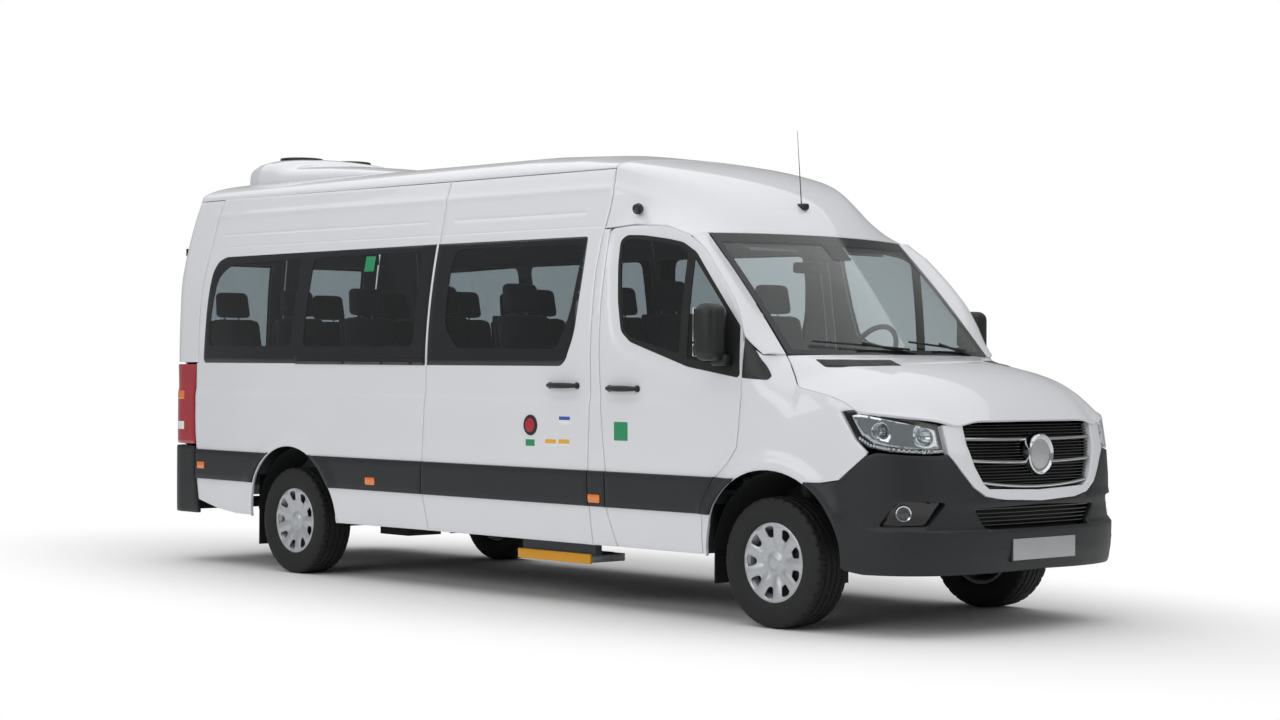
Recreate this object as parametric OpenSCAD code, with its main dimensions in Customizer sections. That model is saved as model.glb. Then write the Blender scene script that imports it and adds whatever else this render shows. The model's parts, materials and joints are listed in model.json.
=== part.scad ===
/* [Overall] */
// Distance between the two axles
wheelbase = 4325; // [3600:5:5200]
// Front axle to the foremost point of the bumper
front_overhang = 1030; // [960:5:1240]
// Rear axle to the rearmost point of the rear step
rear_overhang = 1612; // [1340:4:1940]
// Half of the body's width at its widest height
half_width = 1010; // [980:5:1060]
// Height of the roof's crown above the ground
roof_height = 2660; // [2560:10:3200]

/* [Body] */
// Thickness of a wall, a door or the roof with its lining
wall = 45; // [36:1:56]
// Height of the sills' lower edge above the ground
sill_height = 300; // [260:5:330]
// Gap between a door and what frames it
shut_gap = 8; // [7:1:10]
// Gap behind a front door's rear edge, which swings past the pillar
swing_gap = 13; // [12:1:16]
// Thickness of window glass
glass = 6; // [5:1:8]
// Height of the floor's top above the ground
floor_height = 680; // [640:5:700]
// Thickness of the floor
floor_thickness = 50; // [40:1:60]

/* [Wheels] */
// Outer radius of a tyre
tyre_radius = 346; // [330:1:352]
// Width of a tyre
tyre_width = 235; // [205:5:245]
// Radius of a rim's tyre seat
rim_radius = 203; // [180:1:215]
// Distance between the wheel centres of one axle
track = 1712; // [1660:2:1740]
// Distance of a steering axis from the middle of the vehicle
kingpin_offset = 680; // [660:5:690]
// Radius of a wheel spindle
spindle_radius = 35; // [29:1:42]
// Radial clearance between a spindle and its hub
running_clearance = 0.05; // [0.02:0.01:0.1]
// Radius of a wheel arch
arch_radius = 478; // [450:2:490]

/* [Doors] */
// Distance from the front axle back to the sliding door's front edge
sliding_door_front = 1393; // [1370:1:1420]
// Length of the sliding door
sliding_door_length = 1490; // [1300:5:1700]
// Half of the rear doorway's width
rear_door_half = 815; // [780:5:830]
// Reach of a mirror past the door
mirror_reach = 160; // [135:5:190]

/* [Seats] */
// Width of one seat
seat_width = 450; // [400:5:470]
// Distance between two rows of seats
seat_pitch = 780; // [730:5:900]
// Number of rows behind the cab
row_count = 5; // [3:1:5]

/* [Steering] */
// Radius of the steering wheel's ring
steering_wheel_radius = 195; // [165:1:230]
// Rake of the steering column above level
column_rake = 28; // [22:1:34]

/* [Hidden] */
$fn = 48;
hub_height = tyre_radius;
front_axle_x = (wheelbase + rear_overhang - front_overhang) / 2;
tail = -(wheelbase + rear_overhang);
body_back = tail + 55;
rear_axle = -wheelbase;
belt_height = 1100;
crease_height = roof_height - 140;
header_height = crease_height - 6;
rail_y = 430;
wheel_y = track / 2;
rail_half = 35;
sliding_door_back = -(sliding_door_front + sliding_door_length);
pillar_back = -sliding_door_front;
door_line = -190;
seal = 0.4;

// Shapes are drawn from the front axle, and this places them about the middle.
module placed() {
    translate([front_axle_x, 0, 0]) children();
}

// Half width of the body at a height
function side_y(z) = z > belt_height
    ? half_width - 212 * pow((z - belt_height) / (crease_height - belt_height), 2.1)
    : half_width - 55 * pow((belt_height - z) / (belt_height - sill_height), 2);

// Heights at which the section of the body has a corner
section_heights = [sill_height, 450, 620, 850, belt_height, 1350, 1550, 1750, 1930, 2080,
                   2220, 2330, (2330 + crease_height) / 2, crease_height];

// Right half of the roof's crown, from its edge to the middle
function crown(inset) = [
    for (k = [1 : 6])
        let (a = 90 * k / 6)
        [(side_y(crease_height) - inset) * cos(a), crease_height - inset
         + (roof_height - crease_height) * pow(sin(a), 0.9)]
];

function half_section(inset) = concat(
    [for (z = section_heights) [side_y(z) - inset, z == crease_height ? z - inset : z]],
    crown(inset));

function mirrored(points) = [for (k = [len(points) - 1 : -1 : 0]) [-points[k][0], points[k][1]]];

// Body section across the vehicle, drawn along it
module section_prism(inset) {
    half = half_section(inset);
    rotate([90, 0, 90]) translate([0, 0, tail - 100]) linear_extrude(-tail + 400)
        polygon(concat(half, mirrored(half)));
}

// Body outline from above with round rear corners
module plan_prism(inset) {
    r = 210;
    w = half_width - inset;
    back = body_back + inset;
    corner = [for (k = [0 : 6]) let (a = 15 * k)
        [back + r - r * sin(a), w - 70 - r + r * cos(a)]];
    outline = concat([[300, w], [rear_axle - 300, w]], corner);
    translate([0, 0, sill_height - 50]) linear_extrude(roof_height)
        polygon(concat(outline, [for (k = [len(outline) - 1 : -1 : 0]) [outline[k][0], -outline[k][1]]]));
}

// Body outline from the side, without the nose
module profile_prism(inset) {
    back = body_back + inset;
    along([[back, sill_height - 10], [back, 1450], [back + 30, 1900], [back + 75, 2250],
           [back + 130, crease_height - 100 - inset], [back + 230, crease_height + 20 - inset],
           [back + 420, roof_height - 35 - inset], [back + 800, roof_height - inset],
           [-2300, roof_height - inset], [-1800, roof_height - 20 - inset],
           [-1400, roof_height - 60 - inset],
           [-1150, roof_height - 140 - inset], [-900, roof_height - 240 - inset],
           [-697, roof_height - 372 - inset], [-520 - inset, 2112], [150 - inset, 1440],
           [150 - inset, sill_height - 10]], -half_width - 50, half_width + 50);
}

// Side view outline drawn across the vehicle between two values of y
module along(points, y0, y1) {
    translate([0, y1, 0]) rotate([90, 0, 0]) linear_extrude(y1 - y0) polygon(points);
}

module cell(inset) {
    intersection() {
        section_prism(inset);
        plan_prism(inset);
        profile_prism(inset);
    }
}

// The walls of the body, to be cut into panels
module shell(thickness) {
    difference() {
        cell(0);
        cell(thickness);
    }
}

// One closed solid between two grids of points of the same size
module between_grids(outer, inner) {
    rows = len(outer);
    cols = len(outer[0]);
    count = rows * cols;
    flat_outer = [for (row = outer) for (p = row) p];
    flat_inner = [for (row = inner) for (p = row) p];
    function at(r, c) = r * cols + c;
    top = [for (r = [0 : rows - 2]) for (c = [0 : cols - 2])
        for (t = [[at(r, c), at(r, c + 1), at(r + 1, c + 1)],
                  [at(r, c), at(r + 1, c + 1), at(r + 1, c)]]) t];
    bottom = [for (t = top) [t[2] + count, t[1] + count, t[0] + count]];
    rim = concat(
        [for (c = [0 : cols - 2]) [at(0, c), at(0, c + 1)]],
        [for (r = [0 : rows - 2]) [at(r, cols - 1), at(r + 1, cols - 1)]],
        [for (c = [cols - 1 : -1 : 1]) [at(rows - 1, c), at(rows - 1, c - 1)]],
        [for (r = [rows - 1 : -1 : 1]) [at(r, 0), at(r - 1, 0)]]);
    sides = [for (e = rim) for (t = [[e[1], e[0], e[0] + count], [e[1], e[0] + count, e[1] + count]]) t];
    polyhedron(concat(flat_outer, flat_inner), concat(top, bottom, sides), convexity = 6);
}

// Points of a row of arch edge around an axle, seen from the side
module arch(x, radius, y0, y1) {
    translate([x, y1, hub_height + 5]) rotate([90, 0, 0]) cylinder(h = y1 - y0, r = radius, $fn = 72);
    translate([x - radius, y0, 0]) cube([2 * radius, y1 - y0, hub_height + 5]);
}

step_x = sliding_door_back + 780;
step_length = 634;
step_height = 245;
step_thickness = 45;

// ---- outlines of doors and windows, seen from the side ----
front_door_outline = [[-1180, 350], [-1254, 560], [-1284, 1069], [-1304, 1275], [-1327, 1724],
    [-1329, 2150], [-1134, 2152], [-862, 2134], [-669, 2080], [-540, 2004], [-381, 1850],
    [-268, 1722], [-209, 1617], [door_line - 6, 1547], [door_line - 6, 1100], [-222, 941],
    [-288, 862], [-380, 778], [-449, 678], [-488, 569], [-506, 461], [-506, 350]];
front_window_outline = [[-1215, 1985], [-1180, 2080], [-1060, 2082], [-849, 2060], [-680, 2015],
    [-450, 1800], [-410, 1740], [-410, 1365], [-606, 1400], [-1060, 1530], [-1150, 1600], [-1190, 1740]];

function box_outline(x0, x1, z0, z1, c) = [
    [x0 + c, z0], [x1 - c, z0], [x1, z0 + c], [x1, z1 - c],
    [x1 - c, z1], [x0 + c, z1], [x0, z1 - c], [x0, z0 + c]];

slide_window = box_outline(sliding_door_back + 160, pillar_back - 130, 1475, 2070, 90);
rear_pane_front = sliding_door_back - 130;
rear_pane_back = body_back + 500;
rear_pane_middle = (rear_pane_front + rear_pane_back) / 2;
quarter_windows = [
    box_outline(rear_pane_middle + 60, rear_pane_front, 1475, 2070, 70),
    box_outline(rear_pane_back, rear_pane_middle - 60, 1475, 2070, 70)];

// Grown or shrunk copy of an outline whose middle is known
function grown(points, by) =
    let (xs = [for (p = points) p[0]], zs = [for (p = points) p[1]],
         cx = (max(xs) + min(xs)) / 2, cz = (max(zs) + min(zs)) / 2,
         kx = 1 + 2 * by / (max(xs) - min(xs)), kz = 1 + 2 * by / (max(zs) - min(zs)))
    [for (p = points) [cx + (p[0] - cx) * kx, cz + (p[1] - cz) * kz]];

// A piece of the body's wall inside an outline, on side 1 for left and -1 for right
module wall_piece(points, side, thickness) {
    y_far = half_width + 60;
    intersection() {
        shell(thickness);
        along(points, side > 0 ? 300 : -y_far, side > 0 ? y_far : -300);
    }
}

module side_cut(points, side) {
    y_far = half_width + 60;
    along(points, side > 0 ? 300 : -y_far, side > 0 ? y_far : -300);
}

// Pane of glass seated in the middle of the wall
module pane(points, side) {
    intersection() {
        difference() {
            cell(8);
            cell(8 + glass);
        }
        side_cut(grown(points, -seal), side);
    }
}

// ---- fixed shell ----
well_half = 440;
wheel_house_height = 860;
module floor_pan() {
    under = floor_height - floor_thickness;
    sill_y = 830;
    color("dimgray") placed() {
        difference() {
            intersection() {
                union() {
                    // floor from the bulkhead to the rear doors
                    translate([body_back, -half_width, under])
                        cube([-150 - body_back, 2 * half_width, floor_thickness]);
                    // sills along both sides
                    for (s = [-1, 1])
                        translate([rear_axle + well_half, s > 0 ? sill_y : -half_width, sill_height + 60])
                            cube([-rear_axle - well_half - 520, half_width - sill_y, under - sill_height - 60]);
                    // rear wheel houses
                    for (s = [-1, 1])
                        translate([rear_axle - well_half, s > 0 ? 640 : -half_width, under])
                            cube([2 * well_half, half_width - 640, wheel_house_height - under]);
                }
                union() {
                    cell(wall + 6);
                    // the floor reaches the walls between the doors
                    intersection() {
                        cell(wall + seal);
                        translate([body_back + 500, -half_width, 0])
                            cube([pillar_back - body_back - 500, 2 * half_width, 1000]);
                    }
                }
            }
            for (s = [-1, 1]) {
                translate([rear_axle - well_half + 20, s > 0 ? 660 : -half_width - 30, 0])
                    cube([2 * well_half - 40, half_width - 630, wheel_house_height - 20]);
                // room for the edges of the rear doors as they swing
                translate([body_back, s > 0 ? 740 : -half_width, under - 1])
                    cube([110, half_width - 740, floor_thickness + 2]);
                translate([-well_half - 30, s > 0 ? rail_y + 9.5 : -half_width - 20, 0])
                    cube([well_half + 60, half_width + 10.5 - rail_y, floor_height + 10]);
            }
        }
        // runner of the side step, below the sill
        translate([step_x, -880, step_height + step_thickness + seal])
            cube([step_length, 880 - sill_y, sill_height + 61 - step_height - step_thickness - seal]);
    }
}

module chassis_rails() {
    top = floor_height - floor_thickness;
    color("black") placed() {
        for (s = [-1, 1]) {
            translate([body_back + 150, s * rail_y - rail_half, top - 110])
                cube([860 - body_back - 150, 2 * rail_half, 110]);
            // hangers of the leaf springs
            for (x = [rear_axle - 640, rear_axle + 600])
                translate([x, s * rail_y + (s > 0 ? rail_half : -rail_half - 130), top - 130])
                    cube([50, 130, 130]);
        }
        for (x = [body_back + 300, rear_axle + 900, -2400, -1200])
            translate([x, -rail_y + rail_half, top - 90]) cube([80, 2 * (rail_y - rail_half), 90]);
    }
}

// What the side panel leaves open
module side_openings(side) {
    arch(rear_axle, arch_radius, side > 0 ? 300 : -half_width - 60, side > 0 ? half_width + 60 : -300);
    lamp_box(side, seal);
    side_cut(grown(front_door_outline, swing_gap), side);
    for (w = quarter_windows) side_cut(w, side);
}

module side_region(side) {
    side_cut([[body_back - 20, sill_height - 5], [body_back - 20, roof_height + 10],
              [body_back + 60, roof_height + 10], [body_back + 60, header_height],
              [pillar_back, header_height], [pillar_back, 2158],
              [-1100, 2158], [-1100, 1300], [-500, 1000], [-500, sill_height - 5]], side);
}

module side_panel_left() {
    color("white") placed() rear_hinge_post(1);
    color("white") placed() difference() {
        intersection() {
            shell(wall);
            side_region(1);
        }
        side_openings(1);
        side_cut(slide_window, 1);
        rear_doorway();
    }
}

slide_door_outline = [[pillar_back - 4, 350], [sliding_door_back + 4, 350],
    [sliding_door_back + 30, 1300], [sliding_door_back, header_height], [pillar_back, header_height],
    [pillar_back + 15, 2200], [pillar_back, 1550]];

module side_panel_right() {
    color("white") placed() rear_hinge_post(-1);
    color("white") placed() difference() {
        intersection() {
            shell(wall);
            side_region(-1);
        }
        side_openings(-1);
        side_cut([[pillar_back, 350 - shut_gap], [sliding_door_back - shut_gap, 350 - shut_gap],
                  [sliding_door_back - shut_gap, header_height + 20],
                  [pillar_back, header_height + 20]], -1);
        rear_doorway();
    }
}

module rear_doorway() {
    translate([body_back - 100, -rear_door_half - shut_gap, 420 - shut_gap])
        cube([100 + wall + 260, 2 * (rear_door_half + shut_gap), 2330 - 420 + 2 * shut_gap]);
}

// Rear door hinges on the corner posts
rear_hinges = [700, 1410];
rear_pin = [body_back - 12, rear_door_half + 12];
module rear_hinge_post(side) {
    for (z = rear_hinges) {
        translate([rear_pin[0] - 8, side * rear_pin[1] - 6, z + 31]) cube([48, 12, 20]);
        translate([rear_pin[0], side * rear_pin[1], z]) cylinder(h = 40, r = pin_radius);
    }
}

module rear_hinge_leaf(side) {
    for (z = rear_hinges) difference() {
        union() {
            translate([rear_pin[0] - 6, side > 0 ? rear_pin[1] - 60 : -rear_pin[1], z]) cube([26, 60, 30]);
            translate([rear_pin[0], side * rear_pin[1], z]) cylinder(h = 30, r = 11);
        }
        translate([rear_pin[0], side * rear_pin[1], z - 5])
            cylinder(h = 60, r = pin_radius + running_clearance);
    }
}

module sliding_door() {
    color("white") placed() {
        difference() {
            wall_piece([[pillar_back - shut_gap, 350], [sliding_door_back + shut_gap, 350],
                        [sliding_door_back + shut_gap, header_height - shut_gap],
                        [pillar_back - shut_gap, header_height - shut_gap]], -1, wall);
            side_cut(slide_window, -1);
        }
        pane(slide_window, -1);
    }
}

// Dome of the cab roof between the rear edge of the cab and the windscreen
dome_steps = 7;
dome_back = pillar_back + seal;
function dome_base(inset) = concat(
    [for (z = [2166, 2230, 2330, (2330 + crease_height) / 2, crease_height])
        [side_y(z) - inset, z == crease_height ? z - inset : z]],
    [for (k = [1 : 6]) let (a = 15 * k)
        [(side_y(crease_height) - inset) * cos(a),
         crease_height - inset + (roof_height - 60 - crease_height) * pow(sin(a), 0.9)]]);
function screen_top(y) = [-520 - 132 * pow(y / 795, 2), y, 2112 - 6 * pow(y / 795, 2)];
function screen_foot(y) = [150 - 167 * pow(y / 839, 2), y, 1440 - 2 * pow(y / 839, 2)];
function dome_point(base, u, inset) =
    let (end = screen_top(base[0] / (side_y(2166) - inset) * (796 - inset)),
         g = 0.45 * u + 0.55 * pow(u, 3),
         edge = pow(u, 4))
    [dome_back + (end[0] - inset * 0.9 - dome_back) * u,
     base[0] + (end[1] - base[0]) * edge,
     base[1] + (end[2] - inset * 0.6 - base[1]) * (base[1] > crease_height - 60 ? g : pow(u, 3))];
function dome_grid(inset) = [for (i = [0 : dome_steps])
    let (u = i / dome_steps,
         right = [for (b = dome_base(inset)) dome_point(b, u, inset)])
    concat([for (p = right) p], [for (k = [len(right) - 2 : -1 : 0]) [right[k][0], -right[k][1], right[k][2]]])];

module roof_panel() {
    color("white") placed() {
        intersection() {
            shell(wall);
            translate([body_back + 60, -half_width - 50, header_height + seal])
                cube([dome_back - body_back - 60, 2 * half_width + 100, 400]);
        }
        between_grids(dome_grid(wall), dome_grid(0));
    }
}

// Strip between the door opening and the windscreen, and the cowl below the glass
door_slope = [for (k = [8 : 13]) front_door_outline[k] + [8, k < 13 ? 8 : 0]];
function screen_side(u) = let (a = screen_top(795), b = screen_foot(839))
    a + (b - a) * u + [0, seal, 0];

module pillar(side) {
    function row(p, d) = let (b = screen_side(p[1] < 1540 ? 1 : max(0, (2106 - p[1]) / 668)))
        [[p[0], side * (side_y(p[1]) - d), p[1]], [b[0] - d * 0.3, side * b[1], b[2] - d * 0.5]];
    rows = concat([for (p = door_slope) p], [[-188, 1535]]);
    outer = [for (p = rows) row(p, 0)];
    inner = [for (p = rows) row(p, 34)];
    if (side > 0) between_grids(inner, outer);
    else between_grids(outer, inner);
}

// Hinges of the front doors: where the leaning axis passes the belt, and how it leans
door_pin = [door_line - 16, half_width - 8, belt_height];
door_lean = 1.7;
door_hinges = [1150, 1430];
hinge_height = 50;
module on_door_axis(side) {
    translate([door_pin[0], side * door_pin[1], door_pin[2]]) rotate([side * door_lean, 0, 0]) children();
}

// layers square to the leaning axis
module hinge_layers(side, gap) {
    for (z = door_hinges) on_door_axis(side) translate([-200, -200, z - gap - door_pin[2]])
        cube([400, 400, hinge_height + 2 * gap]);
}

module door_hinge_slots(side, gap) {
    intersection() {
        hinge_layers(side, gap);
        translate([door_pin[0] - 8 - gap, side > 0 ? 850 : -half_width - 20, 1100])
            cube([60, half_width - 830, 450]);
    }
}

// Hinges of the bonnet
bonnet_pin = [6, 700, 1425];
pin_radius = 6;
bonnet_strap = [[-4, 1434], [-4, 1386], [4, 1376], [100, 1376], [160, 1404], [160, 1418], [90, 1424], [90, 1400],
                [80, 1390], [20, 1390], [16, 1394], [16, 1434]];
module across_pin(y0, y1, r) {
    translate([bonnet_pin[0], y0, bonnet_pin[2]]) rotate([-90, 0, 0]) cylinder(h = y1 - y0, r = r);
}

module windscreen_frame() {
    color("white") placed() {
        for (s = [-1, 1]) pillar(s);
        // bulkhead between the cab and the engine
        translate([-150, -rail_y - 9.5, floor_height - floor_thickness])
            cube([25, 2 * rail_y + 19, 1350 - floor_height + floor_thickness]);
        // shelf below the windscreen
        along([[-150, 1350], [150, 1350], [150, 1375], [-150, 1375]], -815, 815);
        // walls beside the pedals, above the wheel houses
        for (s = [-1, 1])
            translate([-150, s > 0 ? rail_y : -900, 890 + seal]) cube([25, 900 - rail_y, 460 - seal]);
        // fixed halves of the door hinges
        for (s = [-1, 1]) intersection() {
            hinge_layers(s, 0);
            union() {
                on_door_axis(s) translate([0, 0, -100]) cylinder(h = 600, r = 7.6);
                on_door_axis(s) translate([-6, s > 0 ? -97 : 4, -100]) cube([12, 93, 600]);
                translate([door_pin[0] - 7, s > 0 ? 899 : -919, 1100]) cube([83.5, 20, 450]);
            }
        }
        // fixed halves of the bonnet hinges
        for (s = [-1, 1]) {
            translate([bonnet_pin[0] - 10, s * 721 - 10, 1370]) cube([20, 20, 63]);
            if (s > 0) across_pin(689, 712, pin_radius);
            else across_pin(-712, -689, pin_radius);
        }
    }
}

// Edge of the bonnet, and the wing that meets it
function bonnet_half(x) = 842 - 0.012 * x - 30 * pow(max(0, x - 350) / 250, 2);
function bonnet_edge(x) = x < -17 ? 1438 - 0.52 * (x + 17)
    : 1437 - 50 * (x / 600) - 262 * pow(max(0, x) / 600, 1.6);
function wing_taper(x) = 4 + 100 * pow(max(0, x + 100) / 640, 2.4);
function wing_y(x, z) = let (top = bonnet_edge(x), k = min(1, max(0, (z - top + 300) / 300)))
    side_y(z) - wing_taper(x) - min(1, max(0, (x + 188) / 171)) * pow(k, 2.2)
    * (side_y(top) - wing_taper(x) - bonnet_half(x) - 10);
wing_cols = [-500, -400, -290, -188, -120, -40, 40, 120, 200, 280, 360, 440, 520, 600, 690];
wing_rows = 10;
wing_floor = 345;
wing_outline = [[-188, 1100], [-214, 935], [-280, 855], [-372, 771], [-441, 671], [-480, 562],
    [-498, 461], [-498, wing_floor], [100, wing_floor], [200, 776], [351, 776], [466, 790],
    [583, 878], [690, 955], [524, 1045], [462, 1150], [520, 1300], [300, 1560], [-188, 1560]];

module wing(side) {
    function grid(d) = [for (x = wing_cols) [for (j = [0 : wing_rows])
        let (k = 1 - pow(1 - j / wing_rows, 1.5), z = wing_floor + (bonnet_edge(x) - wing_floor) * k)
        [x, side * (wing_y(x, z) - d * (1 - 0.87 * k * k)), z]]];
    color("white") difference() {
        intersection() {
            between_grids(side > 0 ? grid(30) : grid(0), side > 0 ? grid(0) : grid(30));
            along(wing_outline, -1100, 1100);
        }
        arch(0, arch_radius, side > 0 ? 300 : -1200, side > 0 ? 1200 : -300);
    }
}

module front_wings() {
    placed() for (s = [-1, 1]) wing(s);
}

// Nose outline from above
function nose_x(y, front) = 470 + (front - 470) * pow(max(0, 1 - pow(abs(y) / 966, 2.8)), 1 / 2.8);
nose_front = front_overhang;
module nose_wall(front, thickness, z0, z1) {
    n = 14;
    ys = [for (k = [-n : n]) 966 * sin(90 * k / n)];
    outer = [for (y = ys) [nose_x(y, front), y]];
    inner = [for (k = [len(ys) - 1 : -1 : 0]) let (y = ys[k] * (966 - thickness) / 966)
        [nose_x(ys[k], front) - thickness * (0.4 + 0.6 * cos(90 * (k - n) / n)), y]];
    translate([0, 0, z0]) linear_extrude(z1 - z0) polygon(concat(outer, inner));
}

// Opening of the grille, seen from the front
grille_outline = [[-300, 625], [300, 625], [420, 700], [500, 1000], [505, 1092], [-505, 1092],
                  [-500, 1000], [-420, 700]];
module across(points, x0, x1) {
    translate([x0, 0, 0]) rotate([90, 0, 90]) linear_extrude(x1 - x0) polygon(points);
}

module front_bumper() {
    color("darkslategray") placed() difference() {
        intersection() {
            union() {
                nose_wall(nose_front, 45, 322, 1092);
            }
            // from the wheel arch forward, below the lamps
            along([[450, 310], [450, 776], [466, 789.5], [583, 877.5], [690, 954.5], [1200, 954.5], [1200, 310]],
                  -1100, 1100);
        }
        arch(0, arch_radius, -1100, 1100);
        across(grown(grille_outline, seal), 700, 1200);
        // lower intake
        across([[-430, 500], [430, 500], [400, 590], [-400, 590]], 700, 1200);
        // opening for the towing eye, with the bumper made in parts round it
        translate([925, tow_y - tow_access, tow_z - tow_access]) cube([300, 2 * tow_access, 2 * tow_access]);
        for (y = [tow_y - tow_access - seal, tow_y + tow_access]) translate([400, y, 300]) cube([800, seal, 800]);
    }
}

module grille() {
    color("black") placed() {
        difference() {
            intersection() {
                nose_wall(nose_front - 12, 40, 600, 1100);
                across(grille_outline, 700, 1200);
            }
            for (z = [700, 800, 900, 1000])
                across([[-380, z], [380, z], [380, z + 50], [-380, z + 50]], 700, 1200);
        }
        for (s = [-1, 1])
            intersection() {
                nose_wall(nose_front - 12, 40, 400, 600);
                across([[-399, 500 + seal], [399, 500 + seal], [399, 520], [-399, 520]], 700, 1200);
            }
    }
}

module headlamps() {
    color("lightgray") placed() for (s = [-1, 1]) difference() {
        intersection() {
            nose_wall(nose_front - 26, 110, 954.9, 1150);
            across([[s * 512, 954], [s * 508, 1086], [s * 700, 1100], [s * 960, 1140], [s * 960, 954]], 450, 1200);
            along([[466, 1148], [524, 1050], [690.5, 956], [690.5, 954.9], [1200, 954.9], [1200, 1200], [466, 1200]],
                  -1100, 1100);
        }
    }
}

module bonnet() {
    cols = 12;
    rows = 9;
    function ring(s, t, d) = let (y = t * (s < 1 ? bonnet_half(600 * s) : bonnet_half(600)),
        xr = 190 - 168 * t * t, xf = 962 - 360 * pow(abs(t), 4), x = xr + (xf - xr) * s,
        h = (0.3 * s + 0.7 * pow(s, 3.4)) * (1 - pow(abs(t), 2.5)) + pow(abs(t), 2.5) * (0.35 * s + 0.65 * pow(s, 1.5)),
        zr = 1441 - 6 * t * t, zf = 1112 + 36 * pow(abs(t), 3))
        [x, y, zr + (zf - zr) * h - d];
    function grid(d) = [for (i = [0 : rows]) [for (j = [-cols / 2 : cols / 2])
        ring(i / rows, 2 * j / cols, d)]];
    color("white") placed() difference() {
        union() {
            between_grids(grid(0), grid(20));
            for (s = [-1, 1]) along(bonnet_strap, s * bonnet_pin[1] - 10, s * bonnet_pin[1] + 10);
        }
        across_pin(-800, 800, pin_radius + running_clearance);
    }
}

// Thread of the towing eye in the bumper beam, and the hole in the bumper that leads to it
tow_y = -520;
tow_z = 405;
tow_thread_radius = 12;
tow_access = 34;
module tow_bore(x, length, radius) {
    translate([x, tow_y, tow_z]) rotate([0, 90, 0]) cylinder(h = length, r = radius);
}

module front_frame() {
    color("black") placed() {
        // bumper beam on the rails' ends, with the towing eye's thread and the bumper's bracket
        difference() {
            union() {
                translate([860, -560, 370]) cube([60, 1120, 260]);
                translate([920, -60, 430]) cube([nose_front - 45.8 - 920, 120, 60]);
            }
            tow_bore(850, 90, tow_thread_radius);
        }
        // wheel houses on the rails
        for (s = [-1, 1]) {
            translate([-440, s * 450 - 10, floor_height - floor_thickness]) cube([840, 20, 260]);
            translate([-440, s > 0 ? 460 : -900, 881]) cube([840, 440, 9]);
        }
        // radiator and its carrier
        translate([780, -380, 640]) cube([60, 760, 380]);
        for (s = [-1, 1]) translate([760, s * 430 - 30, floor_height - floor_thickness]) cube([60, 60, 390]);
        translate([760, -500, 1013]) cube([80, 1000, 40]);
    }
}

module lamp_box(side, gap) {
    y0 = rear_door_half + shut_gap + 1 - 8 * gap;
    translate([body_back - 30, side > 0 ? y0 : -half_width - 10, 811 - gap])
        cube([400 + gap, half_width + 10 - y0, 555 + 2 * gap]);
}

module tail_lamps() {
    color("red") placed() for (s = [-1, 1]) intersection() {
        difference() {
            cell(2);
            cell(wall - 8);
        }
        lamp_box(s, 0);
    }
}

module rear_bumper() {
    color("darkslategray") placed() difference() {
        translate([tail, -half_width + 75, 330]) cube([body_back - seal - tail, 2 * half_width - 150, 85]);
        translate([tail + 20, -400, 320]) cube([80, 800, 60]);
    }
}

module fixed_windows() {
    n = 12;
    top = [for (j = [-n / 2 : n / 2]) screen_top(795 * j / (n / 2))];
    foot = [for (j = [-n / 2 : n / 2]) screen_foot(839 * j / (n / 2))];
    outer = [for (k = [0 : 4]) [for (j = [0 : n]) top[j] + (foot[j] - top[j]) * k / 4 - [1.5, 0, 1.5]]];
    inner = [for (r = outer) [for (p = r) p - [glass * 0.7, 0, glass * 0.7]]];
    color([0.3, 0.32, 0.34, 0.5]) placed() {
        between_grids(outer, inner);
        for (w = quarter_windows) for (s = [-1, 1]) pane(w, s);
        pane(slide_window, 1);
    }
}

module side_trim() {
    band = 12;
    color("darkslategray") placed() for (s = [-1, 1]) difference() {
        intersection() {
            difference() {
                section_prism(-band);
                section_prism(0);
            }
            side_cut([[body_back + 230, 575], [rear_axle - 500, 575], [rear_axle - 500, 785],
                      [body_back + 230, 785]], s);
        }
    }
    color("darkslategray") placed() for (s = [-1, 1]) intersection() {
        difference() {
            section_prism(-band);
            section_prism(0);
        }
        side_cut([[rear_axle + 500, 575], [(s > 0 ? -1270 : sliding_door_back - 20), 575],
                  [(s > 0 ? -1290 : sliding_door_back - 20), 785], [rear_axle + 470, 785]], s);
    }
}

// Air conditioner on the rear of the roof
module roof_air_conditioner() {
    back = body_back + 330;
    color("white") placed() difference() {
        // both outlines start inside the roof
        translate([0, 0, roof_height - 100]) intersection() {
            along([[back, 0], [back, 140], [back + 60, 220], [back + 160, 258], [back + 620, 252],
                   [back + 1000, 210], [back + 1300, 170], [back + 1420, 130], [back + 1440, 0]],
                  -600, 600);
            across([[-600, 0], [-600, 140], [-540, 210], [-430, 248], [0, 262], [430, 248],
                    [540, 210], [600, 140], [600, 0]], back - 10, back + 1500);
        }
        cell(0);
    }
}

module mud_flaps() {
    top = floor_height - floor_thickness - seal;
    color("black") placed() for (s = [-1, 1]) {
        translate([rear_axle - arch_radius - 12, s > 0 ? 740 : -900, 160]) cube([8, 160, top - 160]);
        translate([-arch_radius - 10, s > 0 ? 740 : -900, 200]) cube([8, 160, top - 200]);
    }
}

// ---- inside ----
column_y = 430;
column_top = [-540, column_y, 1440];
module dashboard() {
    color("black") placed() {
        difference() {
            along([[-150.5, 895], [-150.5, 1350], [-260, 1362], [-400, 1330], [-460, 1250], [-430, 1080], [-330, 930]],
                  -840, 840);
            along([[-600, 1180], [-600, 800], [-300, 800], [-300, 1080]], 200, 660);
        }
        // steering column
        translate(column_top) rotate([0, 90 + column_rake, 0]) translate([0, 0, 62]) cylinder(h = 330, r = 34);
    }
}

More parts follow.
